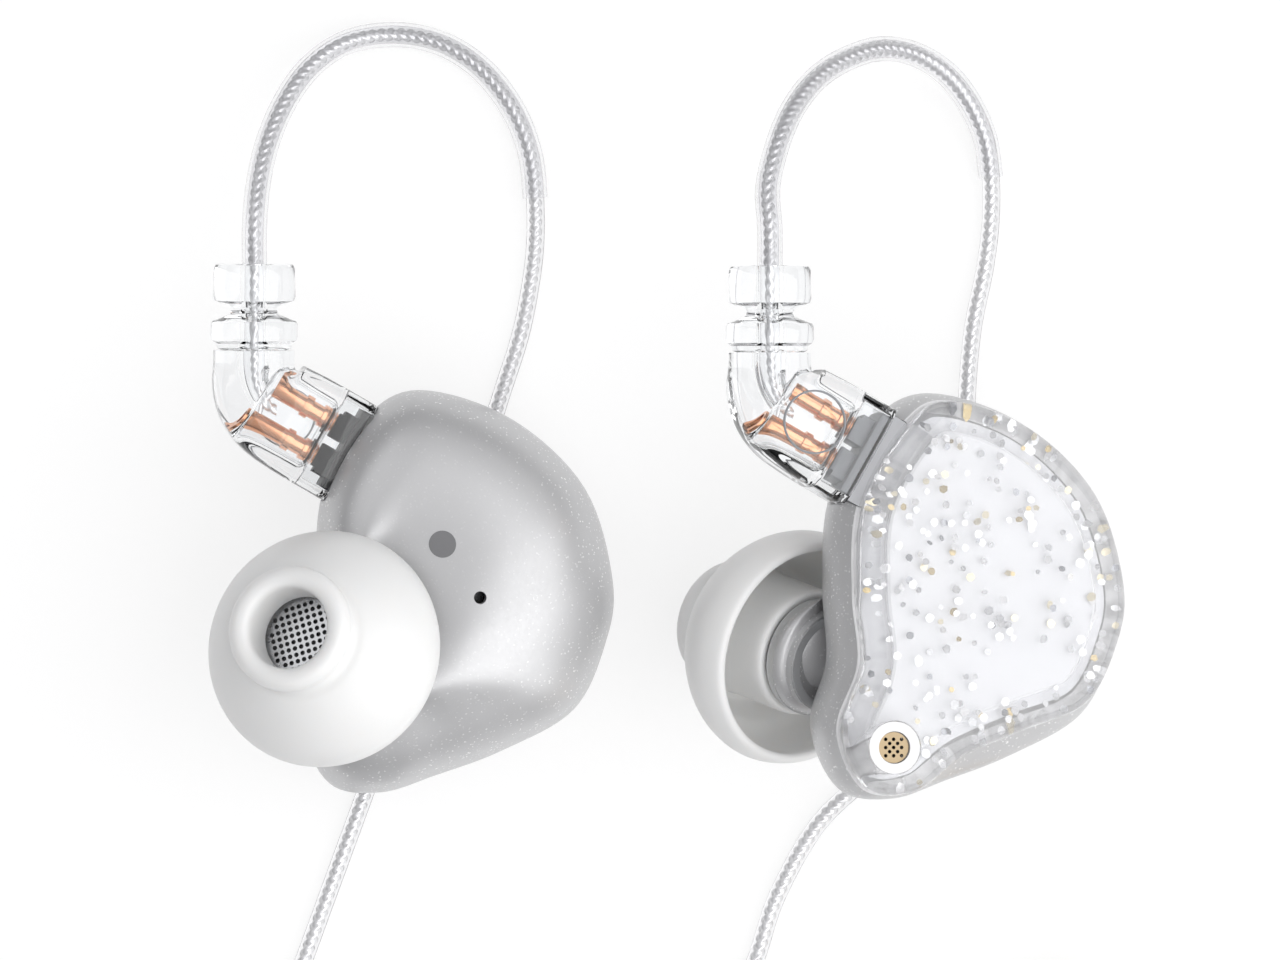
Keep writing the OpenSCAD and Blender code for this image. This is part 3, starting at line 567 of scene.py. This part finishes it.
def shell_piece(side, steps):
    plate, belly = smooth_ring(PLATE_POINTS, steps), smooth_ring(BELLY_POINTS, steps)
    fine = smooth_line(SECTIONS, 5)
    outer = [body_ring(s, 0, plate, belly) for s in fine]
    inner = [body_ring(s, SHELL_WALL, plate, belly) for s in fine[:-8:3]]
    mouth = [[NECK_AT + r * (p - NECK_AT).normalized() for p in outer[-1]] for r in (NECK_R - 0.12, STEM_R)]
    outer[-1] = [p - 0.1 * NECK_DIR for p in outer[-1]]
    bore = [[p - depth * NECK_DIR for p in mouth[1]] for depth in (0.1, 1.1)]
    rings = outer + mouth + bore + list(reversed(inner))
    piece = lofted_piece(f"{side}_shell_skin", rings, closed=True)
    seat = seat_frame()
    cut(piece, box_tool((4, PLUG_W + PLUG_ROOM, PLUG_T + PLUG_ROOM), seat @ Matrix.Translation((-2, 0, 0)), 0.35))
    cut(piece, box_tool(SOCKET_ROOM, seat))
    cut(piece, rod_tool(EAR_VENT_R, 6, Matrix.Translation((*EAR_VENT_AT, 8.5))))
    return piece


def mark_piece(side, shell, radius):
    """Plain printed disc that lies on the shell's ear side; the shell is still in its own frame."""
    clear_selection()
    bpy.ops.mesh.primitive_circle_add(vertices=40, radius=radius, fill_type="TRIFAN", location=MARK_AT)
    piece = bpy.context.object
    piece.name = f"{side}_side_mark_print"
    bpy.ops.object.transform_apply(location=True)
    bpy.ops.object.mode_set(mode="EDIT")
    bpy.ops.mesh.select_all(action="SELECT")
    bpy.ops.mesh.subdivide(number_cuts=5)
    bpy.ops.object.mode_set(mode="OBJECT")
    change(piece, "SHRINKWRAP", target=shell, wrap_method="PROJECT", use_negative_direction=True,
           use_project_z=True, offset=0.006)
    return change(piece, "SOLIDIFY", thickness=MARK_T, offset=0)


def faceplate_piece(side, steps):
    ring = smooth_ring(PLATE_POINTS, steps)
    profile = [(1.35, 0.0), (1.0, 0.015), (0.72, 0.08), (0.45, 0.2), (0.24, 0.38), (0.1, 0.6), (0.02, 0.85),
               (0, 1.1), (0, 1.9), (0.05, 1.97), (0.12, PLATE_T)]
    piece = lofted_piece(f"{side}_faceplate_resin", [level(inset(ring, d), z) for d, z in profile])
    pocket = trimmed(ring, RIM_W - FIT)
    cut(piece, lofted_piece("pocket", [level(pocket, z) for z in (PLATE_T - INLAY_T - FIT, PLATE_T + 1)]))
    return cut(piece, rod_tool(VENT_SEAT_R, 6, Matrix.Translation((*VENT_AT, 0)), 48))


def inlay_piece(side, steps):
    ring = trimmed(smooth_ring(PLATE_POINTS, steps), RIM_W)
    profile = ((0.12, PLATE_T - INLAY_T), (0, PLATE_T - INLAY_T + 0.1), (0, PLATE_T))
    piece = lofted_piece(f"{side}_inlay_sheet", [level(inset(ring, d), z) for d, z in profile])
    return cut(piece, rod_tool(VENT_SEAT_R, 6, Matrix.Translation((*VENT_AT, 0)), 48))


def lip_piece(side, steps):
    """White ledge inside the shell's mouth that the faceplate is glued to."""
    ring = smooth_ring(PLATE_POINTS, steps)
    outer, inner = trimmed(ring, SHELL_WALL + 0.03), trimmed(ring, RIM_W + 0.12)
    piece = lofted_piece(f"{side}_glue_ledge", [level(outer, z) for z in (PLATE_T + 0.01, PLATE_T + LEDGE_T)])
    return cut(piece, lofted_piece("hole", [level(inner, z) for z in (PLATE_T - 1, PLATE_T + 2)]))


def inside(point, ring):
    """Whether a point lies within a ring."""
    hit = False
    for i, a in enumerate(ring):
        b = ring[i - 1]
        if (a.y > point.y) != (b.y > point.y) and point.x < (b.x - a.x) * (point.y - a.y) / (b.y - a.y) + a.x:
            hit = not hit
    return hit


def flake_piece(side, field_count, rim_count, seed):
    """Loose foil flakes in the resin: five- to seven-sided, tipped at random, more of them in the rim."""
    draw = random.Random(seed)
    ring = smooth_ring(PLATE_POINTS, 6)
    field, edge = inset(ring, RIM_W + 0.1), inset(ring, 0.45)
    points, faces, made = [], [], {"field": 0, "rim": 0}
    while made["field"] < field_count or made["rim"] < rim_count:
        at = Vector((draw.uniform(-8.5, 7.8), draw.uniform(-10.5, 10.5)))
        where = "field" if inside(at, field) else "rim" if inside(at, edge) else None
        wanted = field_count if where == "field" else rim_count
        if not where or made[where] >= wanted or (at - Vector(VENT_AT)).length < 1.85:
            continue
        made[where] += 1
        size = draw.uniform(*FLAKE_SIZE)
        z = draw.uniform(0.45, 1.15) if where == "field" else draw.uniform(0.6, 1.75)
        tip = Matrix.Rotation(draw.uniform(0, 6.28), 3, "Z") @ Matrix.Rotation(draw.gauss(0, FLAKE_TILT), 3, "X")
        sides = draw.choice((5, 6, 6, 7))
        first = len(points)
        rim = [tip @ Vector((size * draw.uniform(0.8, 1.1) * math.cos(2 * math.pi * k / sides),
                             size * draw.uniform(0.8, 1.1) * math.sin(2 * math.pi * k / sides), 0))
               for k in range(sides)]
        for lift in (-FLAKE_T / 2, FLAKE_T / 2):
            points += [Vector((at.x, at.y, z)) + p + tip @ Vector((0, 0, lift)) for p in rim]
        faces.append(tuple(first + k for k in reversed(range(sides))))
        faces.append(tuple(first + sides + k for k in range(sides)))
        faces += [(first + k, first + (k + 1) % sides, first + sides + (k + 1) % sides, first + sides + k)
                  for k in range(sides)]
    return new_piece(f"{side}_foil_flakes", points, faces)


def tip_piece(side):
    """Silicone ear tip: core tube, rounded crown and a thin skirt, spun from one profile."""
    n, b, t, h = NOZZLE_R, TIP_BORE_R, TIP_R, TIP_L
    lip = NOZZLE_L - COLLAR_T
    corners = [(n + 0.04, 0.2), (n + 0.3, 0.0), (n + 0.7, 0.05), (n + 0.75, 1.2), (n + 0.75, h - 2.9),
               (n + 0.95, h - 2.6), (n + 1.3, h - 2.85), (t - 1.75, h - 3.8), (t - 1.05, 2.7), (t - 0.66, 1.4),
               (t - 0.75, 0.4), (t - 0.72, 0.1), (t - 0.5, 0.0), (t - 0.22, 0.25), (t, 1.4), (t - 0.28, 2.6),
               (t - 0.95, h - 3.55), (t - 1.8, h - 2.55), (t - 2.5, h - 2.02), (b + 1.2, h - 1.88),
               (b + 0.92, h - 1.6), (b + 1.02, h - 1.2), (b + 1.18, h - 0.8), (b + 1.14, h - 0.4),
               (b + 0.92, h - 0.1), (b + 0.58, h), (b + 0.22, h - 0.1), (b + 0.03, h - 0.45), (b, h - 1.2),
               (b, lip + 0.25)]
    profile = [(p.x, p.y) for p in smooth_line(corners, 4)]
    profile += [(b, lip), (n + 0.04, lip), (n + 0.04, 2.0), profile[0]]
    piece = turned_piece(f"{side}_ear_tip_silicone", profile, 96)
    piece.data.transform(neck_frame() @ Matrix.Translation((0, 0, COLLAR_T + 0.25)))
    return piece


def plug_ring(at, heading, half_w, half_t, power, count=48):
    """One superellipse section of the plug, square to its heading in the plug's plane."""
    across = Vector((-math.sin(heading), math.cos(heading), 0))
    ring = []
    for k in range(count):
        a = 2 * math.pi * k / count
        c, s = math.cos(a), math.sin(a)
        ring.append(at + across * half_w * math.copysign(abs(c) ** (2 / power), c)
                    + Vector((0, 0, half_t * math.copysign(abs(s) ** (2 / power), s))))
    return ring


def elbow_path(bend_radius, start, end, steps=10):
    """Points and headings from x = start, round the bend and up the cable branch to the height end."""
    turn = math.radians(60)
    reach = bend_radius * math.tan(turn / 2)
    corner = -PLUG_REACH
    line = [(Vector((start + (corner + reach - start) * k / 4, 0, 0)), math.pi) for k in range(5)]
    centre = Vector((corner + reach, bend_radius, 0))
    for k in range(1, steps + 1):
        a = turn * k / steps
        line.append((centre + bend_radius * Vector((-math.sin(a), -math.cos(a), 0)), math.pi - a))
    way = Vector((-0.5, math.sqrt(0.75), 0))
    foot = Vector((corner, 0, 0)) + way * reach
    line += [(foot + way * (end - reach) * k / 3, math.pi - turn) for k in range(1, 4)]
    return line


def plug_piece(side):
    """Clear elbow with a pin chamber, a cord channel and a mouth for the insulator."""
    path = elbow_path(2.6, -0.05, 2.5)
    rings = []
    for k, (at, heading) in enumerate(path):
        t = k / (len(path) - 1)
        ease = min(1.0, max(0.0, (t - 0.15) / 0.7))
        w, h, power = (a + (b - a) * ease for a, b in zip(PLUG_SECTION, BRANCH_SECTION))
        rings.append(plug_ring(at, heading, w, h, power))
    w, h, power = PLUG_SECTION
    front = plug_ring(Vector((0, 0, 0)), math.pi, w - PLUG_EDGE, h - PLUG_EDGE, power)
    piece = lofted_piece(f"{side}_plug_body_clear", [front] + rings)
    cut(piece, box_tool((1.85, PLUG_W - 1.1, PLUG_T - 1.1), Matrix.Translation((-0.9, 0, 0)), 0.12))
    cut(piece, box_tool(PIN_CHAMBER, Matrix.Translation((PIN_CHAMBER_X, 0, 0)), 0.4))
    channel = [plug_ring(at, heading, CHANNEL_R, CHANNEL_R, 2, 20) for at, heading in elbow_path(2.2, -4.6, 3.5)]
    cut(piece, lofted_piece("channel", channel))
    piece.data.transform(seat_frame())
    return piece


def grip_ring_piece(side):
    """Low moulded ring on the plug's flat."""
    inner = GRIP_RING_R - GRIP_RING_W
    piece = turned_piece(f"{side}_plug_grip_ring", [
        (inner, -0.12), (inner, 0.05), (GRIP_RING_R, 0.05), (GRIP_RING_R, -0.12),
        (GRIP_RING_R - GRIP_RING_W / 2, -0.15), (inner, -0.12)])
    piece.data.transform(seat_frame() @ Matrix.Translation((GRIP_RING_X, 0, -PLUG_T / 2 + 0.02)))
    return piece


def insert_piece(side):
    """Insulator in the plug's mouth: a thin plate with a notched block round each pin."""
    piece = box_tool((0.45, PLUG_W - 1.2, PLUG_T - 1.2), Matrix.Translation((-0.4, 0, 0)), 0.08)
    piece.name = f"{side}_pin_insulator"
    for way in (-1, 1):
        at = Matrix.Translation((-0.95, way * PIN_PITCH / 2, 0))
        cut(piece, box_tool((1.3, 1.55, 2.0), at, 0.06), "UNION")
        cut(piece, box_tool((0.35, 0.4, 3), at @ Matrix.Translation((-0.6, way * 0.75, 0))))
    for way in (-1, 1):
        at = Matrix.Translation((0, way * PIN_PITCH / 2, 0))
        cut(piece, rod_tool(0.5, 6, at @ Matrix.Rotation(math.pi / 2, 4, "Y")))
    piece.data.transform(seat_frame())
    return piece


def relief_piece(side):
    """Clear strain relief: two collars with a groove between them."""
    bore, foot = SIDE_R + FIT, 2.52
    corners = [(1.75, foot), (1.95, 2.6), (2.02, 2.85), (2.22, 3.0), (2.28, 3.2), (2.28, 3.85), (2.18, 4.02),
               (1.9, 4.12), (1.5, 4.28), (1.25, 4.42), (1.22, 4.58), (1.3, 4.74), (1.7, 4.92), (2.08, 5.08),
               (2.15, 5.3), (2.12, 6.75), (2.02, 6.95), (1.85, RELIEF_RISE)]
    profile = [(bore, foot)] + corners + [(bore, RELIEF_RISE), (bore, foot)]
    piece = turned_piece(f"{side}_strain_relief", profile)
    piece.data.transform(branch_frame())
    return piece


def travelling_frames(path):
    """Side and up vectors carried along a path without twisting."""
    frames, side = [], None
    for i, p in enumerate(path):
        t = (path[min(i + 1, len(path) - 1)] - path[max(i - 1, 0)]).normalized()
        if side is None:
            side = t.cross(Vector((0, 0, 1))).normalized()
        side = (side - t * side.dot(t)).normalized()
        frames.append((side, t.cross(side)))
    return frames


def sections(path, radius_at, sides):
    """A ring square to the path at each of its points; the radius depends on the point and the angle."""
    angles = [2 * math.pi * k / sides for k in range(sides)]
    return [[p + radius_at(i, a) * (side * math.cos(a) + up * math.sin(a)) for a in angles]
            for i, (p, (side, up)) in enumerate(zip(path, travelling_frames(path)))]


def pipe_piece(name, path, outer, inner, sides=20):
    """Open-ended tube with a real wall."""
    outside, bore = (sections(path, lambda i, a: r, sides) for r in (outer, inner))
    return lofted_piece(name, outside + bore[::-1], closed=True)


def strand_piece(name, points, radius, lobes, lay_mm, step, sides, depth=0.22):
    """Twisted strands: a lobed section that turns as it runs."""
    def radius_at(i, a):
        return radius * (1 - depth + depth * math.cos(lobes * (a - 2 * math.pi * i * step / lay_mm)))
    return lofted_piece(name, sections(even_path(points, step), radius_at, sides))


def even_path(points, step):
    """The same line with points a fixed step apart."""
    line, left, last = [points[0].copy()], step, points[0]
    for p in points[1:]:
        gap = (p - last).length
        while gap >= left:
            last = last.lerp(p, left / gap)
            line.append(last.copy())
            gap = (p - last).length
            left = step
        left -= gap
        last = p
    if (points[-1] - line[-1]).length > step * 0.3:
        line.append(points[-1].copy())
    else:
        line[-1] = points[-1].copy()
    return line


def coil_points(at, radius, cord_r, columns, turns, per_turn=24):
    """Turns laid beside and on each other, from the outer bottom one; each change of lane is eased."""
    points, lanes = [], []
    for layer in range(COIL_LAYERS):
        row = range(columns) if layer % 2 == 0 else reversed(range(columns))
        lanes += [(radius + (columns - 1) * cord_r - 2 * cord_r * column,
                   TIE_T + cord_r + 2 * cord_r * layer) for column in row]
    for k in range(int(turns * per_turn) + 1):
        turn = k / per_turn
        lane = min(int(turn), len(lanes) - 1)
        following = lanes[min(lane + 1, len(lanes) - 1)]
        ease = max(0.0, (turn - lane - 1 + LANE_CHANGE) / LANE_CHANGE)
        ease = 0 if turn + LANE_CHANGE > turns else ease * ease * (3 - 2 * ease)
        r, z = (a + (b - a) * ease for a, b in zip(lanes[lane], following))
        a = math.pi + 2 * math.pi * turn
        points.append(Vector((at[0] + r * math.cos(a), at[1] + r * math.sin(a), z)))
    return points


def relief_exit(side):
    """The cord's first two points, straight out of its strain relief."""
    return [placement(side) @ (PLUG_BEND + Vector((0, rise, 0))) / MM for rise in (RELIEF_RISE, RELIEF_RISE + 2)]


def side_path(side):
    coil = coil_points(COIL_AT[side], SIDE_COIL_R, SIDE_R, SIDE_COLUMNS, COIL_TURNS[side])
    return relief_exit(side) + HOOK_ROUTE[side] + CORD_ROUTE[side] + coil + TAIL_ROUTE[side]


def cord_curve(name, points, radius):
    """A cord's jacket: one open curve with a round section, in metres."""
    clear_selection()
    data = bpy.data.curves.new(name, "CURVE")
    data.dimensions = "3D"
    line = data.splines.new("POLY")
    line.points.add(len(points) - 1)
    for point, p in zip(line.points, points):
        point.co = (*(p * MM), 1)
    data.bevel_depth = radius * MM
    data.bevel_resolution = 3
    data.use_fill_caps = True
    piece = bpy.data.objects.new(name, data)
    bpy.context.collection.objects.link(piece)
    return piece


# ---------------- settings


class MonitorSettings(bpy.types.PropertyGroup):
    outline_steps: IntProperty(name="Outline steps", description="Points between two outline corners",
                               default=8, min=3, max=16)
    field_flakes: IntProperty(name="Flakes in the field", description="Foil flakes over the white inlay",
                              default=150, min=0, max=400)
    rim_flakes: IntProperty(name="Flakes in the rim", description="Foil flakes in the clear rim",
                            default=150, min=0, max=400)
    mark_radius: FloatProperty(name="Side mark radius", description="Radius of the plain printed disc",
                               default=0.7 * MM, min=0.0, max=2 * MM, unit="LENGTH")


class CableSettings(bpy.types.PropertyGroup):
    core_radius: FloatProperty(name="Core radius", description="Radius of the silver strands in a side cord",
                               default=0.25 * MM, min=0.1 * MM, max=0.4 * MM, unit="LENGTH")
    lay: FloatProperty(name="Lay", description="Length of one full twist of the strands",
                       default=1.5 * MM, min=0.5 * MM, max=5 * MM, unit="LENGTH")


class StageSettings(bpy.types.PropertyGroup):
    floor_colour: StringProperty(name="Floor", description="Floor colour as sRGB hex", default="#F4F4F4")
    camera_height: FloatProperty(name="Camera height", description="Height of the camera over the table",
                                 default=0.9, min=0.2, max=3.0, unit="LENGTH")
    view_width: FloatProperty(name="View width", description="Width of the table that the camera sees",
                              default=66.67 * MM, min=0.02, max=0.3, unit="LENGTH")


# ---------------- operators


class MONITORS_OT_stage(bpy.types.Operator):
    """Adds the floor, the camera, the lamps and the sky"""
    bl_idname = "monitors.stage"
    bl_label = "Stage"

    def execute(self, context):
        scene = context.scene
        settings = scene.monitor_stage
        scene.view_settings.view_transform = "Standard"
        camera = bpy.data.cameras.new("camera")
        camera.sensor_width = SENSOR_MM
        camera.lens = SENSOR_MM * (settings.camera_height - FOCUS_HEIGHT) / settings.view_width
        camera.clip_start, camera.clip_end = 0.01, 10
        looker = bpy.data.objects.new("camera", camera)
        looker.location = (*VIEW_CENTRE, settings.camera_height)
        scene.collection.objects.link(looker)
        scene.camera = looker
        clear_selection()
        bpy.ops.mesh.primitive_plane_add(size=FLOOR_SIZE)
        floor = context.object
        floor.name = "floor"
        floor.data.materials.append(self.floor_material(settings.floor_colour))
        self.sky(scene)
        for name, at, size, power in LAMPS:
            lamp = bpy.data.lights.new(name, "AREA")
            lamp.energy, lamp.size = power, size
            holder = bpy.data.objects.new(name, lamp)
            holder.location = at
            holder.rotation_euler = (Vector((0, 0, 0.01)) - Vector(at)).to_track_quat("-Z", "Y").to_euler()
            scene.collection.objects.link(holder)
        return {"FINISHED"}

    def floor_material(self, colour):
        # Seamless white table: the camera and clear plastic see it white, and it keeps a soft shadow
        made, tree, bsdf = surface("table_matt_white", colour, Roughness=0.9)
        if not tree:
            return made
        seen = any_ray(tree, "Is Camera Ray", "Is Transmission Ray", "Is Glossy Ray")
        share = add(tree, "ShaderNodeMath", {"operation": "MULTIPLY", 1: FLOOR_GLOW_SHARE}, {0: seen})
        glow = add(tree, "ShaderNodeEmission", {"Color": tone("#FFFFFF"), "Strength": FLOOR_GLOW})
        mix_in(tree, bsdf, glow, share.outputs[0])
        return made

    def sky(self, scene):
        """Pale overhead, darker towards the horizon, so that clear plastic shows its edges."""
        world = bpy.data.worlds.new("studio")
        scene.world = world
        world.use_nodes = True
        tree = world.node_tree
        where = add(tree, "ShaderNodeTexCoord")
        height = add(tree, "ShaderNodeSeparateXYZ", links={"Vector": where.outputs["Generated"]})
        ramp = add(tree, "ShaderNodeValToRGB", links={"Fac": height.outputs["Z"]})
        fill_ramp(ramp, SKY)
        tree.links.new(ramp.outputs["Color"], tree.nodes["Background"].inputs["Color"])


class MONITORS_OT_cords(bpy.types.Operator):
    """Lays the side cords and the main cord with their strands and hook sleeves"""
    bl_idname = "monitors.cords"
    bl_label = "Cords"

    def execute(self, context):
        settings = context.scene.monitor_cable
        core, lay = settings.core_radius / MM, settings.lay / MM
        for side in SIDES:
            points = smooth_line(side_path(side), 4)
            jacket = cord_curve(f"{side}_side_cord_jacket", points, SIDE_R)
            strands = self.strands(f"{side}_side_cord_strands", points, core, 3, lay, 0.125, 15)
            hook = smooth_line(relief_exit(side) + HOOK_ROUTE[side], 4)
            sleeve = set_down(pipe_piece(f"{side}_hook_sleeve_clear", hook, SLEEVE_R, SIDE_R + 0.03),
                              Matrix.Scale(MM, 4))
            settle(shade(sleeve, 60), clear_sleeve(), "cable", "clear_sleeve", f"{side}_hook_sleeve")
            settle(jacket, clear_sleeve(), "cable", "cord", f"{side}_side_cord", f"{side}_side_coil")
        coil = coil_points(COIL_AT["main"], MAIN_COIL_R, MAIN_R, MAIN_COLUMNS, COIL_TURNS["main"])
        points = smooth_line(MAIN_ENTRY + coil + MAIN_EXIT, 4)
        jacket = cord_curve("main_cord_jacket", points, MAIN_R)
        strands = self.strands("main_cord_strands", points, MAIN_CORE_R, 4, MAIN_LAY, 0.5, 16)
        settle(jacket, clear_sleeve(), "cable", "cord", "main_cord", "main_coil")
        return {"FINISHED"}

    def strands(self, *shape):
        piece = set_down(strand_piece(*shape), Matrix.Scale(MM, 4))
        settle(shade(piece, 60), silver_strands(), "cable", "cord")
        return piece


class MONITORS_OT_shells(bpy.types.Operator):
    """Builds the hollow pearl shells"""
    bl_idname = "monitors.shells"
    bl_label = "Shells"

    def execute(self, context):
        settings = context.scene.monitor_body
        for side in SIDES:
            piece = shell_piece(side, settings.outline_steps)
            mark = set_down(mark_piece(side, piece, settings.mark_radius / MM), placement(side))
            settle(shade(mark), plastic("ink_printed_grey", "#7C7C7E", 0.35), f"{side}_monitor", "pearl_shell")
            settle(shade(set_down(piece, placement(side)), 38), pearl_resin(), f"{side}_monitor", "pearl_shell",
                   f"{side}_shell")
        return {"FINISHED"}


class MONITORS_OT_faceplates(bpy.types.Operator):
    """Builds the resin faceplates, their white inlays and the foil flakes"""
    bl_idname = "monitors.faceplates"
    bl_label = "Faceplates"

    def execute(self, context):
        settings = context.scene.monitor_body
        for seed, side in enumerate(SIDES):
            body = f"{side}_monitor"
            for build, finish, slot, *nodes in (
                    (faceplate_piece, cast_resin, "clear_resin", f"{side}_faceplate"),
                    (inlay_piece, white_backing, "white_backing", f"{side}_inlay"),
                    (lip_piece, white_backing, "white_backing")):
                piece = set_down(build(side, settings.outline_steps), placement(side))
                settle(shade(piece, 38), finish(), body, slot, *nodes)
            flakes = flake_piece(side, settings.field_flakes, settings.rim_flakes, FLAKE_SEED + seed)
            settle(set_down(flakes, placement(side)), foil(), body, "clear_resin")
        return {"FINISHED"}


class MONITORS_OT_ear_tips(bpy.types.Operator):
    """Spins the silicone ear tips"""
    bl_idname = "monitors.ear_tips"
    bl_label = "Ear tips"

    def execute(self, context):
        for side in SIDES:
            piece = set_down(tip_piece(side), placement(side))
            settle(shade(piece, 60), silicone(), f"{side}_tip", "silicone", f"{side}_ear_tip")
        return {"FINISHED"}


class MONITORS_OT_plugs(bpy.types.Operator):
    """Builds the clear plugs, their strain reliefs and the cord inside them"""
    bl_idname = "monitors.plugs"
    bl_label = "Plugs"

    def execute(self, context):
        # The grip ring's flat grey is painted shade: it stands for the dark line that a ring moulded in clear plug
        # plastic shows
        ring_shade_grey = plastic("polycarbonate_grey_painted_shade", "#9A9CA0", 0.5)
        insulator = {"right": (plastic("nylon_moulded_black", "#0B0B0C", 0.5, 0.25), "black_plastic"),
                     "left": (plastic("nylon_moulded_grey", "#77797D", 0.42), "grey_plastic")}
        tails = []
        for side in SIDES:
            for build, finish, slot, *nodes in (
                    (plug_piece, clear_moulding(), "clear_plastic", f"{side}_plug_body"),
                    (grip_ring_piece, ring_shade_grey, "clear_plastic"),
                    (insert_piece, *insulator[side], f"{side}_plug_insert"),
                    (relief_piece, clear_moulding(), "clear_plastic", f"{side}_cable_relief")):
                piece = set_down(build(side), placement(side))
                settle(shade(piece, 35), finish, "cable", slot, *nodes)
            tails.append(set_down(self.tail(side), placement(side)))
        tail = joined(tails)
        tail.name = "cord_tails_stranded"
        settle(shade(tail, 60), silver_strands(), "cable", "cord", "cord_tails")
        return {"FINISHED"}

    def tail(self, side):
        """Strands from the strain relief round the bend, parted to the two pins' solder cups."""
        line = [at for at, heading in reversed(elbow_path(2.2, -5.6, RELIEF_RISE))]
        run = smooth_line([seat_frame() @ p for p in line], 3)
        parts = [strand_piece(f"{side}_tail", run, TAIL_R, 3, 1.5, 0.12, 15, 0.2)]
        for way in (-1, 1):
            route = [line[-1], line[-1] + Vector((0.25, way * 0.35, 0)), Vector((-5.15, way * 0.8, 0)),
                     Vector((-4.75, way * PIN_PITCH / 2, 0)), Vector((-4.0, way * PIN_PITCH / 2, 0))]
            path = even_path(smooth_line([seat_frame() @ p for p in route], 6), 0.15)
            parts.append(lofted_piece("end", sections(path, lambda i, a: TAIL_END_R, 8)))
        return joined(parts)


class MONITORS_OT_fittings(bpy.types.Operator):
    """Finishes the CAD pieces: meshes, nozzles, pins, inserts, driver, slider, splitter, ties and jack"""
    bl_idname = "monitors.fittings"
    bl_label = "Fittings"

    def execute(self, context):
        gold = metal("contact_gold_plated", "#D9A94B", 0.22)
        satin = metal("aluminium_satin_anodised", "#CFD0D2", 0.3)
        steel, mesh = metal("steel_plated", "#A9ABAE", 0.25), metal("steel_punched_mesh", "#C9CACC", 0.28)
        # Node names without the side, and what each is made of
        finishes = {
            "vent_ring": white_moulding(), "vent_mesh": metal("bronze_punched_mesh", "#9B8A70", 0.3),
            "nozzle": metal("nozzle_satin_nickel", "#D9DADB", 0.3),
            "nozzle_mesh": mesh,
            "driver_carrier": plastic("abs_moulded_grey", "#55565A", 0.5),
            "driver_basket": steel, "driver_cover": steel,
            "driver_yoke": metal("steel_zinc_grey", "#8E9094", 0.35),
            "driver_magnet": metal("magnet_nickel", "#B4B5B7", 0.2),
            "diaphragm": plastic("film_polymer_amber", "#C79A52", 0.3),
            "socket_block": plastic("nylon_moulded_pale", "#B4B5B8", 0.45),
            "socket_contacts": gold,
            "driver_leads": metal("wire_enamelled_copper", "#B3613A", 0.3),
            "plug_pins": metal("pin_rose_gold_plated", "#E0A27C", 0.2),
        }
        for side in SIDES:
            for node, finish in finishes.items():
                dress_node(f"{side}_{node}", finish)
        for node, finish in {
                "chin_slider": clear_moulding(), "splitter": satin, "coil_ties": strap_weave(),
                "jack_barrel": satin, "jack_relief": clear_sleeve(), "jack_sleeve": gold, "jack_ring": gold,
                "jack_tip": gold, "jack_insulators": plastic("nylon_moulded_black", "#0B0B0C", 0.5)}.items():
            dress_node(node, finish)
        return {"FINISHED"}


class MONITORS_PT_builder(bpy.types.Panel):
    """Lists the builders in the sidebar"""
    bl_idname = "MONITORS_PT_builder"
    bl_label = "In-ear monitors"
    bl_space_type = "VIEW_3D"
    bl_region_type = "UI"
    bl_category = "Monitors"

    def draw(self, context):
        layout = self.layout
        for group in SETTINGS:
            settings = getattr(context.scene, group)
            for name in settings.bl_rna.properties.keys():
                if name not in {"rna_type", "name"}:
                    layout.prop(settings, name)
        for operator in OPERATORS:
            layout.operator(operator.bl_idname)


SETTINGS = {"monitor_body": MonitorSettings, "monitor_cable": CableSettings, "monitor_stage": StageSettings}
OPERATORS = (MONITORS_OT_stage, MONITORS_OT_cords, MONITORS_OT_shells, MONITORS_OT_faceplates,
             MONITORS_OT_ear_tips, MONITORS_OT_plugs, MONITORS_OT_fittings)
CLASSES = (*SETTINGS.values(), *OPERATORS, MONITORS_PT_builder)


def register():
    for kind in CLASSES:
        bpy.utils.register_class(kind)
    for name, kind in SETTINGS.items():
        setattr(bpy.types.Scene, name, PointerProperty(type=kind))


def unregister():
    for name in SETTINGS:
        delattr(bpy.types.Scene, name)
    for kind in reversed(CLASSES):
        bpy.utils.unregister_class(kind)


def main():
    register()
    bpy.ops.monitors.stage()
    bpy.ops.monitors.cords()
    bpy.ops.monitors.shells()
    bpy.ops.monitors.faceplates()
    bpy.ops.monitors.ear_tips()
    bpy.ops.monitors.plugs()
    bpy.ops.monitors.fittings()


if __name__ == "__main__":
    main()
